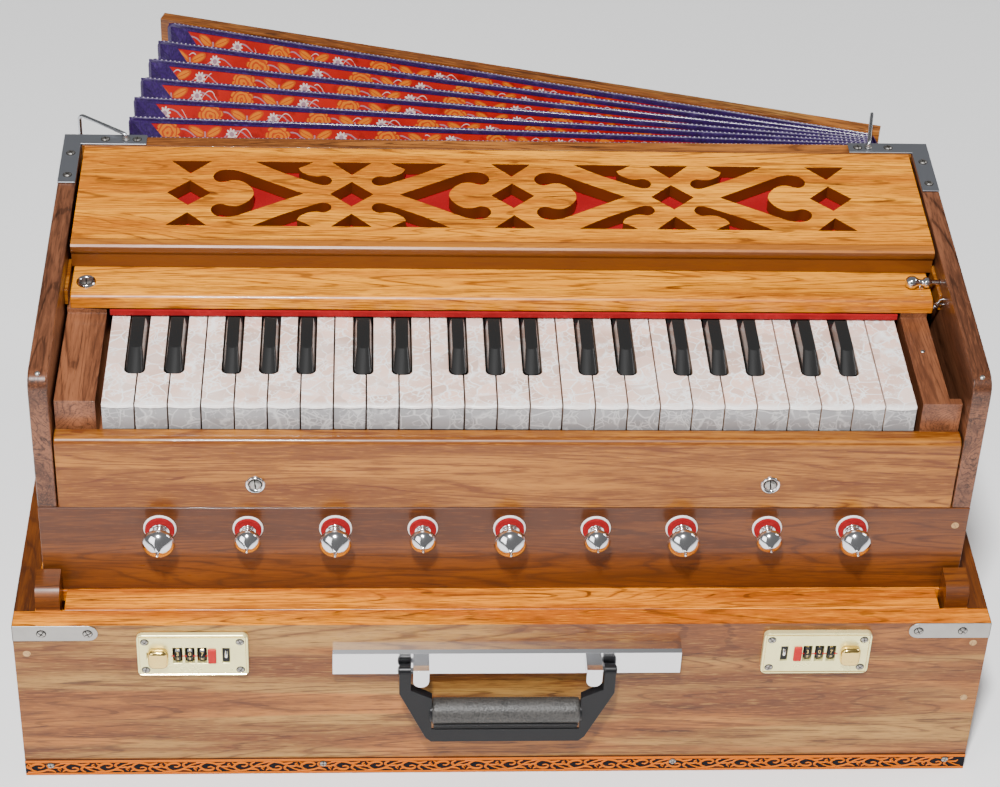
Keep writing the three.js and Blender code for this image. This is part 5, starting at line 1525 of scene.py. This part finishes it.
class HARMONIUM_OT_key_bed(bpy.types.Operator):
    """Key bed, felts, key strip, reed plates and key springs"""

    bl_idname = "harmonium.key_bed"
    bl_label = "Key bed"

    # Felt of the strip: past its front, behind its front, under and over its bottom, past the keys
    felt_proud, felt_depth, felt_under, felt_over, felt_past = (
        1.6 * MM, 24.2 * MM, 0.15 * MM, 4.45 * MM, 1.2 * MM
    )

    # Reed plates, and a reed as places in mm from front to back with its drop under the bed
    plate_front, plate_back, plate_half, plate_thick = 33 * MM, 84 * MM, 4.6 * MM, 1.6 * MM
    reed = ((36, 2.0), (60, 2.4), (78, 2.9))

    # Rail and wires of the springs
    rail_bottom, rail_top, rail_depth, rail_past = 303.5 * MM, 311.5 * MM, 10 * MM, 6 * MM
    wire_root, wire_tip, wire_radius = 310 * MM, (62 * MM, 298.2 * MM), 0.45 * MM
    coil_width, coil_rise, coil_pitch = 0.8 * MM, 2.6 * MM, 0.25 * MM

    def execute(self, context):
        eased("key_bed", "key_bed_boards", "block teak", 0.6 * MM)
        eased("key_strip", "key_strip_board", "strip teak", 0.7 * MM)
        front, back = STRIP_LOW.y - self.felt_proud, STRIP_LOW.y + self.felt_depth
        low, high = STRIP_LOW.z - self.felt_under, STRIP_LOW.z + self.felt_over
        half = KEYBOARD_HALF + self.felt_past
        outline = [(front, low), (back, low), (back, high), (front, high)]
        strip = Shape().prism(outline, 2 * half, (0, 1, 0), (0, 0, 1), (-half, 0, 0))
        strip.piece("strip_felt", "instrument", "red felt", "red_cloth", bevel=0.5 * MM, steps=3)
        self.reeds()
        self.springs()
        return {"FINISHED"}

    def slots(self):
        """Middle and body of each lever, from C to F."""
        singles = [node for node in SLOT_OF if node.startswith("key_") and node in JOINT_BODIES]
        places, natural = [], 0
        for group in range(8):
            size = (3, 4)[group % 2]
            members = min(size, NATURALS - natural)
            width = size * NATURAL_PITCH / (2 * size - 1)
            start = natural * NATURAL_PITCH - KEYBOARD_HALF
            for i in range(2 * members - 1):
                index = len(places)
                if OCTAVE <= index < 2 * OCTAVE:
                    body = singles[index - OCTAVE]
                else:
                    body = f"{'black' if i % 2 else 'white'}_keys_{'low' if index < OCTAVE else 'high'}"
                places.append((start + (i + 0.5) * width, body))
            natural += members
        return places

    def reeds(self):
        """Brass reed plates under the slots of the reed board."""
        plates = Shape()
        for x, _ in self.slots():
            low = (x - self.plate_half, self.plate_front, BED_BOTTOM - self.plate_thick)
            high = (x + self.plate_half, self.plate_back, BED_BOTTOM - 0.1 * MM)
            plates.block(low, high)
            reed = [(x, y * MM, BED_BOTTOM - drop * MM) for y, drop in self.reed]
            plates.tube(reed, lambda t: (1.4 - 0.7 * t) * MM, 6)
        plates.piece("reed_plates", "instrument", "brass", "brass", bevel=0.2 * MM)

    def springs(self):
        """A rail behind the keys and one wire over each lever."""
        half = KEYBOARD_HALF + self.rail_past
        back = LID_BACK - 1.0 * MM
        rail = Shape().block((-half, back - self.rail_depth, self.rail_bottom), (half, back, self.rail_top))
        rail.piece("spring_rail", "instrument", "plain wood", "teak", bevel=0.5 * MM)
        wires = {}
        for x, body in self.slots():
            root = Vector((x, back - 9 * MM, self.wire_root))
            coil = []
            for k in range(17):
                a = k * math.pi / 4
                rise = self.coil_rise * math.cos(a) + 1.5 * MM
                turned = (self.coil_width * math.sin(a), -3 * MM - a * self.coil_pitch, rise)
                coil.append(root + Vector(turned))
            tip = Vector((x, *self.wire_tip))
            reach = [coil[-1].lerp(tip, t) for t in (0.3, 0.6, 0.85, 1.0)]
            end = [tip + Vector((0, -3 * MM, -0.6 * MM)), tip + Vector((0, -6 * MM, 1.2 * MM))]
            wires.setdefault(body, Shape()).tube([root, *coil, *reach, *end], self.wire_radius, 5)
        for body, shape in wires.items():
            piece = shape.piece(f"spring_wires_{body}", None, "wire", "steel", 60)
            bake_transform(piece)


class HARMONIUM_OT_lid(bpy.types.Operator):
    """Pierced lid with the red cloth behind it"""

    bl_idname = "harmonium.lid"
    bl_label = "Pierced lid"

    # Openings of the fretwork in mm from the middle of their column, each made of smooth runs
    # between sharp corners; the second value rises from the middle line of the board
    column_pitch, first_column, middle_line = 116, -226, 55.8
    face_setback = 3.6 * MM
    triangle = (((-14.5, 39), (14.5, 39)), ((14.5, 39), (0, 23.5)), ((0, 23.5), (-14.5, 39)))
    diamond = (((-15.5, 0), (0, -15)), ((0, -15), (15.5, 0)), ((15.5, 0), (0, 15)), ((0, 15), (-15.5, 0)))
    large = (
        ((34.5, 0), (81, 27)),
        ((81, 27), (88.5, 28.8), (95.5, 27.2), (99.5, 21.5), (98.1, 15.6), (93, 13), (86.5, 15.4),
         (80, 15), (74.5, 10.5), (71.1, 5), (70, 0), (71.1, -5), (74.5, -10.5), (80, -15), (86.5, -15.4),
         (93, -13), (98.1, -15.6), (99.5, -21.5), (95.5, -27.2), (88.5, -28.8), (81, -27)),
        ((81, -27), (34.5, 0)),
    )
    small = (
        ((70, 39), (28, 39)),
        ((28, 39), (33, 35), (38.5, 31.5)),
        ((38.5, 31.5), (37, 27.5), (33, 24), (29, 22), (24.5, 21.6), (19.5, 22.3), (15.4, 19.5),
         (14.4, 15.5), (16.4, 11.8), (20.5, 10.6), (26, 12.6), (32, 15.9), (50, 25.6), (70, 39)),
    )

    def execute(self, context):
        self.board()
        self.cloth()
        return {"FINISHED"}

    def board(self):
        low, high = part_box("fretwork_lid")
        work = outlined("fretwork_lid")
        ends = [face for face in work.faces if face.normal.x < -0.99]
        end = max(ends, key=lambda face: face.calc_area())
        section = [(vertex.co.y, vertex.co.z) for vertex in end.verts]
        work.free()
        section = [(y + self.face_setback if y < 0 else y, z) for y, z in section]
        whole = Shape().prism(section, high.x - low.x, (0, 1, 0), (0, 0, 1), (low.x, 0, 0))
        top = [max(z for y, z in section if y < limit) for limit in (0, 1)]
        tilt = math.atan2(top[1] - top[0], high.y - 7 * MM)
        up = Vector((0, math.cos(tilt), math.sin(tilt)))
        out = Vector((0, -math.sin(tilt), math.cos(tilt)))
        surface = high.z - (high.y - self.middle_line * MM) * math.tan(tilt)
        tools = Shape()
        for column in range(5):
            x = (self.first_column + column * self.column_pitch) * MM
            centre = Vector((x, self.middle_line * MM, surface)) - out * 14 * MM
            ways = [(self.triangle, 1, 1), (self.triangle, 1, -1), (self.diamond, 1, 1)]
            if column % 2:
                ways += [(self.large, side, 1) for side in (1, -1)]
                ways += [(self.small, side, rise) for side in (1, -1) for rise in (1, -1)]
            for runs, side, rise in ways:
                outline = []
                for run in runs:
                    outline += smooth_profile(run, 3)[:-1] if len(run) > 2 else [run[0]]
                placed = [(side * a * MM, rise * b * MM) for a, b in outline]
                tools.prism(placed, 20 * MM, (1, 0, 0), up, centre)
        board = whole.without(tools)
        made = board.piece("pierced_lid", "lid", "lid teak", SLOT_OF["fretwork_lid"], 32, 0.35 * MM)
        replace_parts(made, "fretwork_lid")

    def cloth(self):
        low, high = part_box("lid_cloth")
        columns, rows = 41, 13
        slope = (high.z - low.z - 0.8 * MM) / (high.y - low.y)
        grid = []
        for i in range(rows):
            across = i / (rows - 1)
            bow = math.sin(math.pi * across)
            y = low.y + (high.y - low.y) * across
            row = []
            for j in range(columns):
                along = j / (columns - 1)
                sag = 0.3 * MM * math.sin(math.pi * along) ** 0.5 * bow
                ripple = 0.12 * MM * math.sin(along * 43) * math.sin(across * 9 + 1) * bow
                z = low.z + 0.5 * MM + slope * (y - low.y) - sag + ripple
                row.append(Vector((low.x + (high.x - low.x) * along, y, z)))
            grid.append(row)
        cloth = Shape().sheet(grid, CLOTH_THICKNESS).piece("fret_cloth", "lid", "red cloth", "red_cloth", 80)
        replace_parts(cloth, "lid_cloth")


class HARMONIUM_OT_hardware(bpy.types.Operator):
    """Corner brackets, bellows hooks, lock pin and its chain"""

    bl_idname = "harmonium.hardware"
    bl_label = "Brackets, hooks and pin"

    # Knob of the lock pin: radius in shares of its ball, place in shares of its length
    knob = (
        (0.05, 0.0), (0.55, 0.03), (0.9, 0.13), (1.0, 0.25), (0.92, 0.37), (0.62, 0.47), (0.5, 0.55),
        (0.5, 0.64), (0.62, 0.69), (0.8, 0.74), (0.84, 0.8), (0.8, 0.88), (0.62, 0.94), (0.42, 1.0),
    )
    knob_length = 19 * MM

    # Screws of a bracket: middle of its leg, their places from the front, middle of its arm, their
    # places from the outside
    leg_middle, leg_screws = 6.5 * MM, (9 * MM, 36 * MM)
    arm_middle, arm_screws = 6 * MM, (30 * MM, 53 * MM)

    # Chain of the lock pin
    chain_sag, link_length, link_width, link_wire = 13 * MM, 2.3 * MM, 1.45 * MM, 0.46 * MM

    def execute(self, context):
        screws = Screws()
        for name, side in SIDES:
            eased(f"corner_bracket_{name}", f"top_bracket_{name}", "gunmetal", 0.3 * MM)
            low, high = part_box(f"corner_bracket_{name}")
            tilt = (high.z - low.z - 1.2 * MM) / (high.y - low.y)
            normal = Vector((0, -tilt, 1))
            outer = high.x if side > 0 else low.x
            spots = [(outer - side * self.leg_middle, low.y + reach) for reach in self.leg_screws]
            spots += [(outer - side * reach, high.y - self.arm_middle) for reach in self.arm_screws]
            for i, (x, y) in enumerate(spots):
                z = high.z - (high.y - y) * tilt
                screws.add((x, y, z), normal, 2.8 * MM, turn=i * 1.3)
            self.hook(name)
        screws.pieces("bracket_screws", "instrument")
        self.pin(context.scene.harmonium_sizes)
        return {"FINISHED"}

    def hook(self, name):
        """A wire up from its pivot, out over the bellows and down at the end."""
        node = f"bellows_hook_{name}"
        pivot = Vector(JOINTS[f"{node}_swing"]["pos_m"])
        points = [vertex.co for vertex in frame["nodes"][node].data.vertices]
        tip = max(points, key=lambda point: (point.xy - pivot.xy).length)
        low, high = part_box(node)
        wire, bend = 1.4 * MM, 4.5 * MM
        tight = bend * 0.6
        reach = (tip.xy - pivot.xy).length - wire
        way = Vector((*(tip.xy - pivot.xy).normalized(), 0))
        up = Vector((0, 0, 1))
        top = Vector((pivot.x, pivot.y, high.z - wire))
        quarter = [math.pi / 2 * k / 6 for k in range(1, 7)]
        knee = top - up * tight
        path = [pivot, knee]
        path += [knee + way * tight * (1 - math.cos(a)) + up * tight * math.sin(a) for a in quarter[:-1]]
        path += [top + way * bend, top + way * (reach - bend)]
        corner = top - up * bend + way * (reach - bend)
        path += [corner + way * bend * math.sin(a) + up * bend * math.cos(a) for a in quarter]
        path.append(Vector((pivot.x, pivot.y, low.z + 0.4 * MM)) + way * reach)
        made = Shape().tube(path, wire, 12).piece(f"hook_wire_{name}", node, "wire", "steel", 60)
        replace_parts(made, node)
        collar = [(2.8, 0.0), (2.9, 0.7), (2.2, 1.2), (1.7, 1.3)]
        rivet = Shape().turned([(r * MM, a * MM) for r, a in collar], pivot, (0, 0, 1), 20)
        rivet.piece(f"hook_collar_{name}", node, "nickel", "steel")

    def pin(self, sizes):
        low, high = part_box("lock_pin")
        ball = (high.z - low.z) / 2
        centre = Vector((low.x, (low.y + high.y) / 2, (low.z + high.z) / 2))
        profile = smooth_profile([(r * ball, a * self.knob_length) for r, a in self.knob], 3)
        shaft, end = 1.9 * MM, high.x - low.x
        profile += [(shaft, self.knob_length + 0.1 * MM), (shaft, end - 1 * MM), (1.2 * MM, end)]
        turned = Shape().turned(profile, centre, (1, 0, 0), 32)
        made = turned.piece("pin_knob", "lock_pin", "chrome", "chrome", 50)
        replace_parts(made, "lock_pin")
        waist = Vector((self.knob_length * 0.6, 0, -ball * 0.55))
        self.chain(centre + waist, sizes.chain_links)

    def chain(self, start, links):
        """A short chain from the pin's waist to a staple in the cheek."""
        foot = Vector((CHEEK_LOW.x, -41 * MM, STRIP_HIGH.z + 1 * MM))
        half = 2.2 * MM
        loop = [foot + Vector((0.5 * MM, 0, half))]
        for k in range(9):
            a = math.pi * k / 8
            loop.append(foot + Vector((-2.6 * MM * math.sin(a) - 0.6 * MM, 0, half * math.cos(a))))
        loop.append(foot + Vector((0.5 * MM, 0, -half)))
        Shape().tube(loop, 0.55 * MM, 8).piece("chain_staple", "instrument", "wire", "steel", 60)
        finish_point = foot - Vector((3.0 * MM, 0, 0))

        def hanging(t):
            return start.lerp(finish_point, t) - Vector((0, 0, self.chain_sag * math.sin(math.pi * t)))

        shape = Shape()
        for i in range(links):
            t = (i + 0.5) / links
            centre = hanging(t)
            ahead = (hanging(min(1, t + 0.03)) - centre).normalized()
            side = ahead.orthogonal().normalized()
            side = Matrix.Rotation(math.pi / 2 * (i % 2), 3, ahead) @ side
            ring = []
            for k in range(12):
                a = 2 * math.pi * k / 12
                along = ahead * self.link_length * math.cos(a)
                ring.append(centre + along + side * self.link_width * math.sin(a))
            shape.tube(ring, self.link_wire, 6, closed=True)
        chain = shape.piece("pin_chain", None, "wire", "steel", 60)
        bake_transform(chain)


class HARMONIUM_OT_bellows(bpy.types.Operator):
    """Printed cloth, violet edges and pump board of the fan bellows"""

    bl_idname = "harmonium.bellows"
    bl_label = "Fan bellows"

    hinge_gap = 5 * MM
    corner_radius = 5 * MM

    # Where the print of each strip begins, in metres along its run
    print_starts = {"top": 0.0, "left": 0.41, "bottom": 0.83}

    # Sections of the edging in mm, across the leaf and inwards: a leaf between two folds, the fixed
    # frame and the pump board
    flank = ((1.035, 3.6), (1.15, 1.8), (1.15, 0), (0.805, -0.675))
    rib_edge = (*((-across, inward) for across, inward in flank), (0, -0.9), *reversed(flank))
    frame_edge = ((-7, -0.1), (-7, -0.5), (0.2, -0.9), (0.9, -0.5), (1.2, 0.3), (1.2, 3.6), (0.5, 3.6))
    board_edge = ((-1.2, 3.6), (-1.3, 0.3), (-1.1, -0.6), (-0.7, -1.1), (-0.25, -1.2), (-0.25, 3.6))

    def execute(self, context):
        eased("pump_board", "pump_panel", "pump teak", 1.0 * MM)
        for rib in range(1, FOLDS):
            dress_node(f"bellows_rib_{rib}", "violet leather")
        cloths = []
        for fold in range(FOLDS):
            for strip in ("top", "left", "bottom"):
                for half in (0, 1):
                    cloths.append(self.face(context.scene.harmonium_sizes, fold, strip, half))
        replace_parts(cloths[0], "bellows_cloth")
        for leaf in range(FOLDS + 1):
            self.edging(leaf)
        self.end_leather()
        return {"FINISHED"}

    def leaf(self, number, back, offset, height):
        """A point of a leaf: distance from the hinge, across the leaf, and height."""
        angle = -LEAF_ANGLE * number
        turned = Matrix.Rotation(angle, 3, "Z") @ Vector((-back, offset, 0))
        return LEAF_HINGE + Vector((0, number * LEAF_PITCH, height)) + turned

    def share(self, fraction):
        """Where the blend's smooth step reaches a fraction."""
        low, high = 0.0, 1.0
        for _ in range(40):
            t = (low + high) / 2
            low, high = (t, high) if t * t * (3 - 2 * t) < fraction else (low, t)
        return (low + high) / 2

    def face(self, sizes, fold, strip, half):
        """One side of one fold: from a ridge to the valley, or from the valley to the next ridge."""
        columns, rows = (37, 9) if strip != "left" else (17, 9)
        random.seed(f"{fold} {strip} {half}")
        waves = [(random.uniform(20, 90), random.uniform(0, 6.3), random.uniform(0.2, 1)) for _ in range(5)]
        grid, marks = [], []
        for i in range(rows):
            step = i / (rows - 1)
            depth = FOLD_DEPTH * (1 - step if half else step)
            down = (fold + half) * 2 * FOLD_DEPTH + (-depth if half else depth)
            mix = step * 0.5 + half * 0.5
            row, mark = [], []
            for j in range(columns):
                t = j / (columns - 1)
                if strip == "left":
                    back = LEAF_LENGTH - depth
                    height = LEAF_BOTTOM + depth + (LEAF_TOP - LEAF_BOTTOM - 2 * depth) * t
                    run = height - LEAF_BOTTOM
                    corner = min(run, LEAF_TOP - LEAF_BOTTOM - run)
                else:
                    back = LEAF_LENGTH - depth - (LEAF_LENGTH - depth - self.hinge_gap) * t
                    height = LEAF_TOP - depth if strip == "top" else LEAF_BOTTOM + depth
                    run = LEAF_LENGTH - back
                    corner = run
                one = self.leaf(fold, back, 0, height)
                two = self.leaf(fold + 1, back, 0, height)
                point = one.lerp(two, mix)
                across = (two - one).normalized()
                room = min(1.0, (two - one).length / (9 * MM))
                inside = math.sin(math.pi * depth / FOLD_DEPTH)
                pucker = sum(a * math.sin(f * run * 2.2 + p + depth * 120) for f, p, a in waves) / 2.4
                edge = min(1.0, min(t, 1 - t) * 12)
                shift = across * pucker * sizes.cloth_pucker * room * inside * edge
                belly = across * (1 if half else -1) * inside * 0.4 * MM * room * edge
                row.append(point + shift + belly)
                mark.append((run + self.print_starts[strip], down, corner))
            grid.append(row)
            marks.append(mark)
        shape = Shape().sheet(grid, CLOTH_THICKNESS, marks)
        name = f"cloth_{strip}_{fold + 1}{'ab'[half]}"
        made = shape.piece(name, None, "printed cloth", "bellows_cloth", 70)
        first = self.share((fold + half * 0.5) / FOLDS)
        last = self.share((fold + half * 0.5 + 0.5) / FOLDS)
        span = FOLD_DEPTH / (last - first)
        if strip == "left":
            outer = self.leaf(fold + 0.5, LEAF_LENGTH, 0, 0)
            inward = (self.leaf(fold + 0.5, 0, 0, 0) - outer).normalized()
        else:
            outer = Vector((0, 0, LEAF_TOP if strip == "top" else LEAF_BOTTOM))
            inward = Vector((0, 0, -1 if strip == "top" else 1))
        if half:
            start = outer + inward * (FOLD_DEPTH + first * span)
            end = start - inward * span
        else:
            start = outer - inward * first * span
            end = start + inward * span
        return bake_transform(made)

    def edging(self, number):
        """Leather folded over the edge of one leaf, round its open corners."""
        section = {0: self.frame_edge, FOLDS: self.board_edge}.get(number, self.rib_edge)
        section = [(across * MM, inward * MM) for across, inward in section]
        radius = self.corner_radius
        near, far = self.hinge_gap * 0.4, LEAF_LENGTH - radius
        top, bottom = LEAF_TOP - radius, LEAF_BOTTOM + radius
        bend = [math.pi / 2 * k / 6 for k in range(1, 7)]
        path = [(near + (far - near) * t / 30, LEAF_TOP, (0, -1)) for t in range(31)]
        for a in bend:
            c, s = math.cos(a), math.sin(a)
            path.append((far + radius * s, top + radius * c, (-s, -c)))
        path += [(LEAF_LENGTH, top - (top - bottom) * t / 8, (-1, 0)) for t in range(1, 9)]
        for a in bend:
            c, s = math.cos(a), math.sin(a)
            path.append((far + radius * c, bottom - radius * s, (-c, s)))
        path += [(far - (far - near) * t / 30, LEAF_BOTTOM, (0, 1)) for t in range(1, 31)]
        random.seed(number)
        phase = random.uniform(0, 6)
        rings = []
        for index, (back, height, inward) in enumerate(path):
            wave = 1 + 0.06 * math.sin(index * 1.7 + phase) + 0.05 * math.sin(index * 0.6 + 2 * phase)
            ring = []
            for offset, depth in section:
                reach = depth if depth > 0 else depth * wave
                ring.append(self.leaf(number, back + inward[0] * reach, offset, height + inward[1] * reach))
            rings.append(ring)
        body = {0: "instrument", FOLDS: "pump_board"}.get(number, f"bellows_rib_{number}")
        Shape().skin(rings).piece(f"leaf_edging_{number}", body, "stitched leather", "rib_card", 60)

    def end_leather(self):
        """Leather hinge down the closed end of the bellows."""
        start = LEAF_HINGE + Vector((0.6 * MM, -8 * MM, 0))
        end = LEAF_HINGE + Vector((1.2 * MM, FOLDS * LEAF_PITCH - 1.6 * MM, 0))
        heights = [LEAF_BOTTOM + (LEAF_TOP - LEAF_BOTTOM) * j / 8 for j in range(9)]
        grid = []
        for i in range(13):
            t = i / 12
            bulge = 1.4 * MM * math.sin(math.pi * t)
            point = start.lerp(end, t) + Vector((bulge, 0, 0))
            grid.append([point + Vector((0, 0, height)) for height in heights])
        shape = Shape().sheet(grid, 0.6 * MM)
        shape.piece("hinge_leather", "instrument", "violet leather", "rib_card", 60)


OPERATORS = (
    HARMONIUM_OT_stage,
    HARMONIUM_OT_case,
    HARMONIUM_OT_border,
    HARMONIUM_OT_handle,
    HARMONIUM_OT_locks,
    HARMONIUM_OT_upper_case,
    HARMONIUM_OT_stops,
    HARMONIUM_OT_keys,
    HARMONIUM_OT_key_bed,
    HARMONIUM_OT_lid,
    HARMONIUM_OT_hardware,
    HARMONIUM_OT_bellows,
)


class HARMONIUM_PT_panel(bpy.types.Panel):
    bl_idname = "HARMONIUM_PT_panel"
    bl_label = "Harmonium"
    bl_space_type = "VIEW_3D"
    bl_region_type = "UI"
    bl_category = "Harmonium"

    def draw(self, context):
        for operator in OPERATORS:
            self.layout.operator(operator.bl_idname)
        for group in (context.scene.harmonium_sizes, context.scene.harmonium_colours):
            for name in group.bl_rna.properties.keys():
                if name not in {"rna_type", "name"}:
                    self.layout.prop(group, name)


CLASSES = (HarmoniumColours, HarmoniumSizes, *OPERATORS, HARMONIUM_PT_panel)


def register():
    for entry in CLASSES:
        bpy.utils.register_class(entry)
    bpy.types.Scene.harmonium_colours = PointerProperty(type=HarmoniumColours)
    bpy.types.Scene.harmonium_sizes = PointerProperty(type=HarmoniumSizes)


def unregister():
    del bpy.types.Scene.harmonium_sizes
    del bpy.types.Scene.harmonium_colours
    for entry in reversed(CLASSES):
        bpy.utils.unregister_class(entry)


def main():
    register()
    for operator in OPERATORS:
        group, name = operator.bl_idname.split(".")
        getattr(getattr(bpy.ops, group), name)()


if __name__ == "__main__":
    main()
